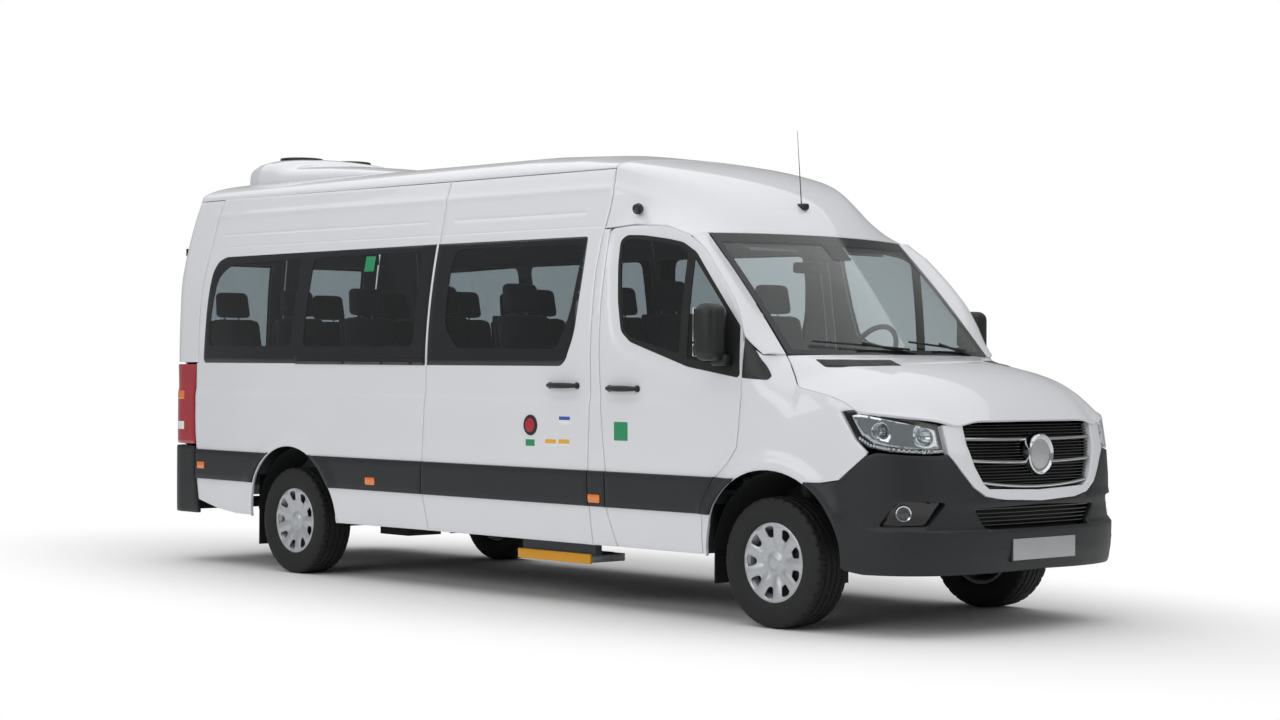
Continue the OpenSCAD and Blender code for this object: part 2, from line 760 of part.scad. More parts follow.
module steering_wheel() {
    color("black") placed() translate(column_top) rotate([0, 90 + column_rake, 0]) {
        rotate_extrude() translate([steering_wheel_radius, 0]) circle(r = 15, $fn = 24);
        cylinder(h = 61.5, r = 30);
        translate([0, 0, 4]) cylinder(h = 40, r = 70);
        for (a = [0, 180, 270]) rotate([0, 0, a]) translate([20, -18, -5])
            cube([steering_wheel_radius - 26, 36, 12]);
    }
}

// One seat stands at [x, y] of its cushion's middle
seat_y = [-640, 180, 640];
cab_seats = [[-960, 430], [-960, -430]];
row_x = [for (k = [0 : row_count - 1]) -2050 - k * seat_pitch];
all_seats = concat(cab_seats, [for (x = row_x) for (y = seat_y) [x, y]]);
cushion_z = floor_height + 310;

module each_seat() {
    for (p = all_seats) translate([p[0], p[1], 0]) children();
}

// A seat over a wheel house stands on it
function seat_base(p) = abs(p[0] - rear_axle) < 630 && abs(p[1]) > 490 ? 860 : floor_height;

module seat_frames() {
    color("dimgray") placed() for (p = all_seats) translate([p[0], p[1], 0]) {
        base = seat_base(p);
        translate([-190, -150, base]) cube([380, 300, 30]);
        translate([-120, -110, base + 30]) cube([240, 220, cushion_z - base - 60]);
        translate([-290, -seat_width / 2 + 20, cushion_z - 30]) cube([500, seat_width - 40, 29.7]);
        translate([-290, -seat_width / 2 + 60, cushion_z - 30]) cube([82, seat_width - 120, 141.7]);
    }
}

module seat_cushions() {
    color("darkslategray") placed() each_seat()
        translate([-200, -seat_width / 2, cushion_z]) cube([440, seat_width, 110]);
}

module seat_backs() {
    color("darkslategray") placed() each_seat() {
        translate([0, 0, cushion_z]) {
            along([[-300, 112], [-205, 112], [-300, 690], [-395, 690]], -seat_width / 2, seat_width / 2);
            along([[-318, 690], [-400, 690], [-428, 880], [-352, 880]], -130, 130);
        }
    }
}

// ---- below ----
module engine() {
    color("gray") placed() {
        translate([-110, -270, 430]) cube([740, 540, 640]);
        translate([-640, -160, 420]) cube([530, 320, 205]);
    }
}

module fuel_tank() {
    color("black") placed() translate([-2300, 520, 360]) cube([900, 290, floor_height - floor_thickness - 360]);
}

module exhaust() {
    color("silver") placed() {
        translate([-3300, -300, 490]) rotate([0, 90, 0]) cylinder(h = 2700, r = 32);
        translate([-2700, -385, 395]) cube([800, 170, 130]);
        for (x = [-3200, -2000, -900]) translate([x, -310, 500]) cube([30, 20, floor_height - floor_thickness - 500]);
    }
}

module propeller_shaft() {
    color("black") placed() {
        translate([rear_axle + 160.5, 0, hub_height + 100]) rotate([0, 90, 0]) cylinder(h = -rear_axle - 160.5 - 640.5, r = 40);
        translate([-2500, -90, hub_height + 60]) difference() {
            cube([40, 180, floor_height - floor_thickness - hub_height - 60]);
            translate([-10, 90, 40]) rotate([0, 90, 0]) cylinder(h = 80, r = 40.5);
        }
    }
}

module rear_axle_beam() {
    color("black") placed() {
        difference() {
            union() {
                translate([rear_axle, 0, hub_height]) rotate([90, 0, 0]) cylinder(h = 2 * wheel_y - 240, r = 55, center = true);
                translate([rear_axle - 150, -140, hub_height - 130]) cube([310, 280, 300]);
                translate([rear_axle, 0, hub_height]) rotate([90, 0, 0])
                    cylinder(h = 2 * wheel_y + 40, r = spindle_radius, center = true);
                for (s = [-1, 1]) {
                    // leaf springs on the axle, up to their hangers
                    translate([rear_axle - 60, s * 530 - 40, hub_height]) cube([120, 80, 75]);
                    translate([rear_axle - 640, s * 530 - 35, hub_height + 75]) cube([1290, 70, 40]);
                    for (x = [rear_axle - 640, rear_axle + 600])
                        translate([x, s * 530 - 35, hub_height + 100])
                            cube([50, 70, floor_height - floor_thickness - 130.5 - hub_height - 100]);
                }
            }
        }
    }
}

module front_suspension() {
    color("black") placed() {
        translate([-110, -rail_y, 300]) cube([220, 2 * rail_y, 90]);
        for (s = [-1, 1]) {
            translate([-110, s * rail_y - rail_half, 300]) cube([220, 2 * rail_half, 219]);
            // lower arm and strut
            translate([-60, s > 0 ? rail_y + rail_half : -kingpin_offset - 40, 175 + 40])
                cube([120, kingpin_offset + 40 - rail_y - rail_half, 34]);
            translate([-60, s > 0 ? rail_y : -rail_y - rail_half, 215]) cube([120, rail_half, 90]);
            // ball joint under the knuckle
            translate([0, s * kingpin_offset, 240]) cylinder(h = 9.5, r = 30);
            translate([0, s * kingpin_offset, 480]) cylinder(h = 400.6, r = 48);
        }
    }
}

module spare_wheel() {
    color("black") placed() {
        translate([rear_axle - 1080, 0, 330]) difference() {
            cylinder(h = 200, r = 330);
            translate([0, 0, -1]) cylinder(h = 60, r = 190);
        }
        translate([rear_axle - 1100, -20, 530]) cube([40, 40, floor_height - floor_thickness - 530]);
    }
}

// ---- doors ----
module front_door(side) {
    color("white") placed() {
        difference() {
            wall_piece(front_door_outline, side, wall);
            side_cut(front_window_outline, side);
            door_hinge_slots(side, seal);
        }
        pane(front_window_outline, side);
    }
    // mirror with its arm
    y = side_y(1400);
    color("black") placed() {
        translate([-360, side > 0 ? y - 25 : -y - 60, 1375]) cube([90, 85, 60]);
        translate([-400, side > 0 ? y + 20 : -y - mirror_reach, 1400]) cube([130, mirror_reach - 20, 330]);
    }
}

module front_door_left() { front_door(1); }
module front_door_right() { front_door(-1); }

module rear_door(side) {
    half = shut_gap * 0.6;
    y0 = side > 0 ? half : -rear_door_half;
    width = rear_door_half - half;
    color("white") placed() {
        rear_hinge_leaf(side);
        difference() {
            intersection() {
                shell(wall);
                translate([body_back - 20, y0, 424]) cube([265, width, 1906]);
            }
            translate([body_back - 20, y0 + 120, 1480]) cube([400, width - 240, 600]);
        }
        intersection() {
            difference() {
                cell(8);
                cell(8 + glass);
            }
            translate([body_back - 20, y0 + 120 + seal, 1480 + seal]) cube([300, width - 240 - 2 * seal, 600 - 2 * seal]);
        }
    }
}

module rear_door_left() { rear_door(1); }
module rear_door_right() { rear_door(-1); }

module side_step() {
    color("silver") placed()
        translate([step_x, -900, step_height]) cube([step_length, 300, step_thickness]);
}

// ---- steering and wheels ----
module knuckle(side) {
    color("dimgray") placed() translate([0, side * kingpin_offset, 0]) {
        difference() {
            union() {
                translate([-50, -45, 250]) cube([100, 90, 229.5]);
                translate([0, side * (wheel_y - kingpin_offset + 20) / 2, hub_height]) rotate([90, 0, 0])
                    cylinder(h = wheel_y - kingpin_offset + 20, r = spindle_radius, center = true);
            }
        }
    }
}
module knuckle_left() { knuckle(1); }
module knuckle_right() { knuckle(-1); }

module at_wheel(x, side) {
    placed() translate([x, side * wheel_y, hub_height]) rotate([-90 * side, 0, 0]) children();
}

module tyre(x, side) {
    w = tyre_width / 2;
    r = tyre_radius;
    b = rim_radius + 0.3;
    color("black") at_wheel(x, side) rotate_extrude($fn = 96)
        polygon([[b, -w * 0.72], [b + 24, -w * 0.92], [b + 70, -w], [r - 40, -w * 0.94], [r - 12, -w * 0.82],
                 [r, -w * 0.66], [r, w * 0.66], [r - 12, w * 0.82], [r - 40, w * 0.94], [b + 70, w],
                 [b + 24, w * 0.92], [b, w * 0.72]]);
}

module rim(x, side) {
    w = tyre_width / 2 * 0.72;
    b = rim_radius;
    bore = spindle_radius + running_clearance;
    color("silver") at_wheel(x, side) {
        difference() {
            rotate_extrude($fn = 96)
                polygon([[bore, 0], [bore, 24], [b - 60, 60], [b - 12, 80], [b - 12, w], [b, w], [b, -w],
                         [b - 16, -w], [b - 16, 44], [b - 64, 36], [80, -4], [80, -30], [bore, -30]]);
            for (k = [0 : 8]) rotate([0, 0, 40 * k]) translate([b - 70, 0, 0]) cylinder(h = 120, r = 16, center = false);
        }
    }
}

module tyre_front_left() { tyre(0, 1); }
module tyre_front_right() { tyre(0, -1); }
module tyre_rear_left() { tyre(rear_axle, 1); }
module tyre_rear_right() { tyre(rear_axle, -1); }
module rim_front_left() { rim(0, 1); }
module rim_front_right() { rim(0, -1); }
module rim_rear_left() { rim(rear_axle, 1); }
module rim_rear_right() { rim(rear_axle, -1); }

floor_pan();
chassis_rails();
side_panel_left();
side_panel_right();
roof_panel();
windscreen_frame();
front_wings();
front_frame();
front_bumper();
grille();
headlamps();
tail_lamps();
rear_bumper();
fixed_windows();
side_trim();
sliding_door();
roof_air_conditioner();
mud_flaps();
dashboard();
seat_frames();
seat_cushions();
seat_backs();
engine();
fuel_tank();
exhaust();
propeller_shaft();
rear_axle_beam();
front_suspension();
spare_wheel();
front_door_left();
front_door_right();
rear_door_left();
rear_door_right();
bonnet();
side_step();
steering_wheel();
knuckle_left();
knuckle_right();
tyre_front_left();
tyre_front_right();
tyre_rear_left();
tyre_rear_right();
rim_front_left();
rim_front_right();
rim_rear_left();
rim_rear_right();
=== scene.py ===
import json
import math

import bmesh
import bpy
import numpy as np
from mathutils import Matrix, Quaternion, Vector
from mathutils.geometry import delaunay_2d_cdt


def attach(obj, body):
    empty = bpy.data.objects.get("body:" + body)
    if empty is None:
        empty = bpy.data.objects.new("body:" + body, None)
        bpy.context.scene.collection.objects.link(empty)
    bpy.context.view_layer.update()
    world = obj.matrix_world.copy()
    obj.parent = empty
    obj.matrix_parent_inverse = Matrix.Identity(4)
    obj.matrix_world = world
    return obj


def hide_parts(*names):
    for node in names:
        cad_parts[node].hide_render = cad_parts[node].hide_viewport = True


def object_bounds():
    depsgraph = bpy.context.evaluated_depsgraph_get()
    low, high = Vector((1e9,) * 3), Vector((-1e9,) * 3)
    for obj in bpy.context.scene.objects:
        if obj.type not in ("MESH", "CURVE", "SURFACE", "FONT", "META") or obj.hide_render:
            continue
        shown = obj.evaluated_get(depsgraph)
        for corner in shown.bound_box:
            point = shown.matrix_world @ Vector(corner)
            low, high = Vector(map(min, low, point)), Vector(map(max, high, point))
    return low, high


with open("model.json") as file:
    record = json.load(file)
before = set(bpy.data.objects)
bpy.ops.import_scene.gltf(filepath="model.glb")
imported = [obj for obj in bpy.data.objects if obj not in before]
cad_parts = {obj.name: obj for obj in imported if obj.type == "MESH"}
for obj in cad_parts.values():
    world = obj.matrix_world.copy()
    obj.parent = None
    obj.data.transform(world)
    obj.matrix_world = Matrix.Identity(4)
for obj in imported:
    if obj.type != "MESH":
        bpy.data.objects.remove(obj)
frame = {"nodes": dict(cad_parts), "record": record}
cadLow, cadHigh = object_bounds()
joints = {j["name"]: j for j in frame["record"]["behaviour"]["joints"]}
frontHub = Vector(joints["spin_front_left"]["pos_m"])
rearHub = Vector(joints["spin_rear_left"]["pos_m"])
mm = 0.001  # shapes are worked out in millimetres from the middle of the front axle, on the ground
rearAxle = (rearHub.x - frontHub.x) / mm
print("frame loaded:", len(frame["nodes"]), "nodes")


def toFrame(points):
    return np.asarray(points, float) * mm + np.array([frontHub.x, 0, 0])


# ---- materials ----

def hexColour(code):
    values = [int(code[k:k + 2], 16) / 255 for k in (1, 3, 5)]
    return [v / 12.92 if v <= 0.04045 else ((v + 0.055) / 1.055) ** 2.4 for v in values] + [1]


def addNode(tree, kind, inputs=None, **settings):
    node = tree.nodes.new(kind)
    for name, value in settings.items():
        setattr(node, name, value)
    for name, value in (inputs or {}).items():
        if isinstance(value, bpy.types.NodeSocket):
            tree.links.new(value, node.inputs[name])
        else:
            node.inputs[name].default_value = value
    return node


def perMm(size):
    return 1 / (size * mm)  # texture scale that makes a feature this many millimetres wide


# A finish with a mottled colour and a noisy bump, each at its own real size
def finish(name, colour, roughness, mottle=None, mottleMm=40, grainMm=4, grain=0.1, grainDepthMm=0.3,
           roughSpread=0.06, **shaderInputs):
    material = bpy.data.materials.new(name)
    material.use_nodes = True
    tree = material.node_tree
    shader = tree.nodes["Principled BSDF"]
    place = addNode(tree, "ShaderNodeTexCoord").outputs["Object"]
    clouds = addNode(tree, "ShaderNodeTexNoise", {"Vector": place, "Scale": perMm(mottleMm), "Detail": 4})
    tint = addNode(tree, "ShaderNodeMix", {0: clouds.outputs["Fac"], 6: hexColour(colour),
                   7: hexColour(mottle or colour)}, data_type="RGBA")
    tree.links.new(tint.outputs[2], shader.inputs["Base Color"])
    spread = addNode(tree, "ShaderNodeMapRange", {"Value": clouds.outputs["Fac"],
                     "To Min": max(0, roughness - roughSpread), "To Max": roughness + roughSpread})
    tree.links.new(spread.outputs["Result"], shader.inputs["Roughness"])
    grains = addNode(tree, "ShaderNodeTexNoise", {"Vector": place, "Scale": perMm(grainMm), "Detail": 2})
    bump = addNode(tree, "ShaderNodeBump", {"Height": grains.outputs["Fac"], "Strength": grain,
                   "Distance": grainDepthMm * mm})
    tree.links.new(bump.outputs["Normal"], shader.inputs["Normal"])
    for socket, value in shaderInputs.items():
        shader.inputs[socket.replace("_", " ")].default_value = value
    return material


# Acrylic enamel under a sprayed clear coat: cool white, mirror-like on top, faint orange peel
enamel = finish("spray_coated_enamel", "#e3e5e9", 0.42, "#dfe1e6", 600, 9, 0.05, 0.25, 0.03,
                Coat_Weight=0.8, Coat_Roughness=0.04)
# Moulded polypropylene, fine leather-like grain drawn coarser than the real 0.5 mm so that it shows
greyPlastic = finish("grained_polypropylene", "#15191b", 0.46, "#1a1e20", 60, 3, 0.2, 0.2)
# Satin black ABS mouldings: handles, mirror shells, wiper arms
blackPlastic = finish("satin_abs", "#141617", 0.42, "#1a1c1d", 50, 3, 0.15, 0.2)
# Gloss black ABS of the grille: piano black with soft reflections
pianoBlack = finish("gloss_abs", "#0a0b0c", 0.12, "#0d0e0f", 80, 12, 0.03, 0.2, 0.03, Coat_Weight=0.5)
# Ceramic frit fired on glass: black, glassy, a little greyer where it fades
frit = finish("fired_ceramic_frit", "#1d2022", 0.1, "#222527", 300, 40, 0.02, 0.3, 0.03)
# EPDM rubber seals: dull black
sealRubber = finish("extruded_epdm", "#0e0f10", 0.75, "#151617", 20, 2, 0.3, 0.3)
# Vulcanised tyre rubber: charcoal with dusty mottling
tyreRubber = finish("vulcanised_rubber", "#121314", 0.72, "#1a1b1c", 30, 2.5, 0.4, 0.4)
# Vacuum-metallised ABS: bright chrome with a slight ripple
chrome = finish("metallised_abs", "#dfe1e3", 0.1, "#cfd2d5", 60, 15, 0.04, 0.2, 0.04, Metallic=1.0)
# Painted wheel trim: silver lacquer with metal flake
silverLacquer = finish("silver_lacquer", "#c2c5c8", 0.36, "#b6b9bd", 12, 1.5, 0.12, 0.1, Metallic=0.55,
                       Coat_Weight=0.4)
# Electrophoretic dip coat on pressed steel: soot black, semi-dull
dipCoat = finish("dip_coated_steel", "#1b1d1f", 0.55, "#26282a", 90, 5, 0.3, 0.4)
# Sand-cast iron: rough grey-brown skin
castIron = finish("sand_cast_iron", "#4a4845", 0.7, "#5b5854", 25, 4, 0.6, 0.8, Metallic=0.5)
# Rolled stainless steel of the exhaust: warm grey, heat-tinted patches
rolledSteel = finish("rolled_stainless", "#8d8a84", 0.38, "#77716a", 120, 8, 0.15, 0.3, Metallic=0.9)
# Needle-punched felt lining: warm light grey fibres
liningFelt = finish("needle_felt", "#a9acae", 0.95, "#9a9da0", 8, 2, 0.7, 0.7)
# Slip-resistant vinyl floor: dark grey with pale flecks
floorVinyl = finish("flecked_vinyl", "#3a3d40", 0.6, "#56595c", 6, 3, 0.2, 0.3)
# Slush-moulded PVC dashboard skin: near black, matt, pebbled
dashSkin = finish("slush_moulded_skin", "#1e2022", 0.62, "#25272a", 40, 4, 0.4, 0.3)
# Retroreflective vinyl labels
greenVinyl = finish("green_sign_vinyl", "#1f8a55", 0.45, "#229460", 15, 2, 0.1, 0.1)
whiteVinyl = finish("white_sign_vinyl", "#eceded", 0.45, "#e2e4e4", 15, 2, 0.1, 0.1)
blueVinyl = finish("blue_sign_vinyl", "#2c55a5", 0.45, "#305bb0", 15, 2, 0.1, 0.1)
yellowVinyl = finish("yellow_sign_vinyl", "#e5a823", 0.45, "#eab02e", 15, 2, 0.1, 0.1)
redVinyl = finish("red_moulded_abs", "#a8202a", 0.35, "#b22631", 15, 2, 0.1, 0.1)
# Powder-coated safety yellow on the step's edge
yellowPowder = finish("yellow_powder_coat", "#e2a21c", 0.5, "#d8951a", 15, 2, 0.3, 0.3)
# Chequered aluminium tread: bright, brushed by use
treadAluminium = finish("tread_aluminium", "#b5b7b8", 0.35, "#9b9d9f", 30, 5, 0.4, 0.6, Metallic=0.9)
# Anodised plate of the blank number plate: pale grey
plateAluminium = finish("plate_aluminium", "#a9abae", 0.4, "#b4b6b9", 120, 4, 0.08, 0.1, Metallic=0.3)
# Acrylic lenses, dyed in the mass
redLens = finish("red_acrylic", "#a31627", 0.12, "#b11d2f", 25, 5, 0.3, 0.6, 0.03, Coat_Weight=1.0)
amberLens = finish("amber_acrylic", "#e8731a", 0.15, "#f08124", 12, 4, 0.4, 0.6, 0.03, Coat_Weight=1.0)


# Float glass: see-through with a mirror skin by angle; lamps shine through it onto the inside
def paneMaterial(name, tint, mirrorRoughness):
    material = bpy.data.materials.new(name)
    material.use_nodes = True
    tree = material.node_tree
    tree.nodes.remove(tree.nodes["Principled BSDF"])
    place = addNode(tree, "ShaderNodeTexCoord").outputs["Object"]
    waves = addNode(tree, "ShaderNodeTexNoise", {"Vector": place, "Scale": perMm(350), "Detail": 1})
    bump = addNode(tree, "ShaderNodeBump", {"Height": waves.outputs["Fac"], "Strength": 0.02,
                                            "Distance": mm})
    through = addNode(tree, "ShaderNodeBsdfTransparent", {"Color": hexColour(tint)})
    mirror = addNode(tree, "ShaderNodeBsdfGlossy", {"Color": (1, 1, 1, 1), "Roughness": mirrorRoughness,
                     "Normal": bump.outputs["Normal"]})
    angle = addNode(tree, "ShaderNodeLayerWeight", {"Blend": 0.5})
    steep = addNode(tree, "ShaderNodeMath", {0: angle.outputs["Facing"], 1: 4.5}, operation="POWER")
    share = addNode(tree, "ShaderNodeMapRange", {"Value": steep.outputs["Value"], "To Min": 0.04,
                                                 "To Max": 0.9})
    both = addNode(tree, "ShaderNodeMixShader", {0: share.outputs["Result"], 1: through.outputs["BSDF"],
                   2: mirror.outputs["BSDF"]})
    tree.links.new(both.outputs["Shader"], tree.nodes["Material Output"].inputs["Surface"])
    return material


screenGlass = paneMaterial("laminated_float_glass", "#eef2f2", 0.02)
sideGlass = paneMaterial("grey_tinted_float_glass", "#d3d8da", 0.02)
lensClear = paneMaterial("clear_polycarbonate", "#f4f6f7", 0.03)


# Woven seat cloth: two thread directions about 2.5 mm apart, drawn coarser than the real 1 mm
def clothMaterial(name, colour, threadColour):
    material = finish(name, colour, 0.9, threadColour, 3, 2, 0.5, 0.5)
    tree = material.node_tree
    shader = tree.nodes["Principled BSDF"]
    place = addNode(tree, "ShaderNodeTexCoord").outputs["Object"]
    threads = [addNode(tree, "ShaderNodeTexWave", {"Vector": place, "Scale": perMm(2.5) / 6.3},
                       bands_direction=way).outputs["Fac"] for way in ("Y", "Z")]
    weave = addNode(tree, "ShaderNodeMath", {0: threads[0], 1: threads[1]}, operation="MAXIMUM")
    bump = addNode(tree, "ShaderNodeBump", {"Height": weave.outputs["Value"], "Strength": 0.5,
                   "Distance": 0.6 * mm})
    tree.links.new(bump.outputs["Normal"], shader.inputs["Normal"])
    shader.inputs["Sheen Weight"].default_value = 0.3
    return material


seatCloth = clothMaterial("woven_seat_cloth", "#25282c", "#33373c")
print("materials made")


# ---- mesh helpers ----

# Makes a piece from points in millimetres; each face may name its material by number
def addPiece(name, points, faces, materials, body, faceMaterials=None, slotName=None, sharp=35):
    mesh = bpy.data.meshes.new(name)
    mesh.from_pydata(toFrame(points).tolist(), [], [list(map(int, f)) for f in faces])
    for material in materials:
        mesh.materials.append(material)
    if faceMaterials is not None:
        mesh.polygons.foreach_set("material_index", np.asarray(faceMaterials, np.int32))
    mesh.polygons.foreach_set("use_smooth", [True] * len(mesh.polygons))
    mesh.set_sharp_from_angle(angle=math.radians(sharp))
    mesh.validate()
    piece = bpy.data.objects.new(name, mesh)
    bpy.context.scene.collection.objects.link(piece)
    if body:
        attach(piece, body)
    return piece


def joinParts(parts):
    points, faces, kinds, start = [], [], [], 0
    for p, f, k in parts:
        points.append(np.asarray(p, float))
        faces += [[i + start for i in face] for face in f]
        kinds += [k] * len(f)
        start += len(p)
    return np.vstack(points), faces, kinds


def addParts(name, parts, materials, body, **more):
    points, faces, kinds = joinParts(parts)
    return addPiece(name, points, faces, materials, body, kinds, **more)


# Quads between the rows of a grid of points
def gridFaces(rows, cols, wrapCols=False, wrapRows=False):
    faces = []
    for r in range(rows if wrapRows else rows - 1):
        for c in range(cols if wrapCols else cols - 1):
            a, b = r * cols + c, r * cols + (c + 1) % cols
            d, e = ((r + 1) % rows) * cols + c, ((r + 1) % rows) * cols + (c + 1) % cols
            faces.append((a, b, e, d))
    return faces


def inside(points, outline):
    x, y = points[:, 0][:, None], points[:, 1][:, None]
    x0, y0 = outline[:, 0], outline[:, 1]
    x1, y1 = np.roll(x0, -1), np.roll(y0, -1)
    crosses = ((y0 > y) != (y1 > y)) & (x < (x1 - x0) * (y - y0) / np.where(y1 == y0, 1e-9, y1 - y0) + x0)
    return crosses.sum(1) % 2 == 1


def distanceTo(points, outline):
    best = np.full(len(points), 1e9)
    for a, b in zip(outline, np.roll(outline, -1, 0)):
        d = b - a
        t = np.clip(((points - a) @ d) / max(d @ d, 1e-9), 0, 1)
        best = np.minimum(best, np.hypot(*(points - a - t[:, None] * d).T))
    return best


def area(outline):
    x, y = outline.T
    return 0.5 * np.sum(x * np.roll(y, -1) - np.roll(x, -1) * y)


# Outline with its corners rounded and its long edges split
def outlined(corners, radius=0, step=25):
    corners = np.asarray(corners, float)
    radii = list(radius) if isinstance(radius, (list, tuple)) else [radius] * len(corners)
    if area(corners) < 0:
        corners, radii = corners[::-1], radii[::-1]
    path = []
    for k, p in enumerate(corners):
        before, after = corners[k - 1], corners[(k + 1) % len(corners)]
        inward, outward = before - p, after - p
        li, lo = np.hypot(*inward), np.hypot(*outward)
        cut = min(radii[k], 0.45 * li, 0.45 * lo)
        if cut < 1:
            path.append(p)
            continue
        a, b = p + inward / li * cut, p + outward / lo * cut
        path += [(1 - t) ** 2 * a + 2 * t * (1 - t) * p + t * t * b for t in np.linspace(0, 1, 7)]
    path = np.array(path)
    dense = []
    for a, b in zip(path, np.roll(path, -1, 0)):
        n = max(1, int(np.hypot(*(b - a)) // step))
        dense += [a + (b - a) * k / n for k in range(n)]
    return np.array(dense)


# Outline moved inward by a distance, or outward if it is negative
def shifted(outline, by):
    before, after = np.roll(outline, 1, 0), np.roll(outline, -1, 0)
    way = after - before
    way /= np.maximum(np.hypot(*way.T), 1e-9)[:, None]
    return outline + by * np.column_stack([-way[:, 1], way[:, 0]])


def triangulate(loops, grid, keep):
    points, edges = [tuple(p) for loop in loops for p in loop], []
    start = 0
    for loop in loops:
        edges += [(start + k, start + (k + 1) % len(loop)) for k in range(len(loop))]
        start += len(loop)
    points += [tuple(p) for p in grid]
    out = delaunay_2d_cdt([Vector(p) for p in points], edges, [], 0, 1e-4)
    flat = np.array([tuple(p) for p in out[0]])
    faces = np.array(out[2])
    centres = flat[faces].mean(1)
    a, b, c = (flat[faces[:, k]] for k in range(3))
    turn = (b[:, 0] - a[:, 0]) * (c[:, 1] - a[:, 1]) - (b[:, 1] - a[:, 1]) * (c[:, 0] - a[:, 0])
    faces[turn < 0] = faces[turn < 0][:, ::-1]
    return flat, faces[keep(centres)], out[3]


def surfaceNormals(surface, flat, step=1.0):
    u, v = np.array([step, 0]), np.array([0, step])
    along, up = surface(flat + u) - surface(flat - u), surface(flat + v) - surface(flat - v)
    n = np.cross(along, up)
    return n / np.maximum(np.linalg.norm(n, axis=1), 1e-9)[:, None]


# A closed sheet on a curved surface: rolled outer edge, flange, and a back face at the wall's depth
def addSheet(name, surface, outline, body, materials, holes=(), depth=20, lip=2.0, gridStep=30,
             rowsAt=(), colsAt=(), lift=0, panes=(), slotName=None, backMaterial=None, edgeMaterial=None,
             gap=0, sharp=32, middle=(-1500, 0, 1000)):
    outer = shifted(outline, gap)
    rims = [outer] + list(holes)
    signs = [1] + [-1] * len(holes)
    inner = [shifted(rim, lip * s) for rim, s in zip(rims, signs)]
    low, high = outer.min(0), outer.max(0)
    us = np.unique(np.round(np.concatenate([np.arange(low[0], high[0], gridStep), colsAt]), 1))
    vs = np.unique(np.round(np.concatenate([np.arange(low[1], high[1], gridStep), rowsAt]), 1))
    grid = np.array([(u, v) for u in us for v in vs])
    keep = inside(grid, inner[0])
    for h in inner[1:]:
        keep &= ~inside(grid, h)
    for loop in inner + list(panes):
        keep &= distanceTo(grid, loop) > min(9, gridStep * 0.35)
    grid = grid[keep]
    flat, faces, _ = triangulate(inner + list(panes), grid, lambda c: np.logical_and.reduce(
        [inside(c, inner[0])] + [~inside(c, h) for h in inner[1:]]))
    centres = flat[faces].mean(1)
    kinds = np.zeros(len(faces), int)
    for pane in panes:
        kinds[inside(centres, pane)] = 1
    out = surfaceNormals(surface, flat)
    flip = np.sum(out * (surface(flat) - np.array(middle))) < 0
    turn = -1 if flip else 1
    out = turn * out
    front = surface(flat) + out * lift
    back = surface(flat) + out * (lift - depth)
    count = len(flat)
    points = [front, back]
    allFaces = [tuple(f) for f in (faces[:, ::-1] if flip else faces)]
    allFaces += [tuple(f + count) for f in (faces if flip else faces[:, ::-1])]
    backKind = len(materials) if backMaterial else 0
    edgeKind = len(materials) + (1 if backMaterial else 0) if edgeMaterial else 0
    allKinds = list(kinds) + [k if k == 1 else backKind for k in kinds]
    start = 2 * count
    lookup = {tuple(np.round(p, 3)): k for k, p in enumerate(flat)}
    for rim, near, sign in zip(rims, inner, signs):
        n = len(rim)
        rimOut = turn * surfaceNormals(surface, rim)
        mid = shifted(rim, lip * 0.35 * sign)
        rings = [surface(mid) + rimOut * (lift - lip * 0.3), surface(rim) + rimOut * (lift - lip),
                 surface(rim) + rimOut * (lift - depth)]
        firstIds = [lookup.get(tuple(np.round(p, 3))) for p in near]
        if None in firstIds:
            firstIds = [int(np.argmin(np.hypot(*(flat - p).T))) for p in near]
        ids = [firstIds] + [list(range(start + k * n, start + (k + 1) * n)) for k in range(3)]
        ids.append([i + count for i in firstIds])
        points += rings
        start += 3 * n
        reverse = (sign > 0) == flip
        for level, (near1, near2) in enumerate(zip(ids[:-1], ids[1:])):
            for k in range(n):
                q = (near1[k], near2[k], near2[(k + 1) % n], near1[(k + 1) % n])
                allFaces.append(q[::-1] if reverse else q)
                allKinds.append(edgeKind if level >= 2 else 0)
    mats = list(materials) + ([backMaterial] if backMaterial else []) + ([edgeMaterial] if edgeMaterial
                                                                         else [])
    return addPiece(name, np.vstack(points), allFaces, mats, body, allKinds, slotName, sharp)


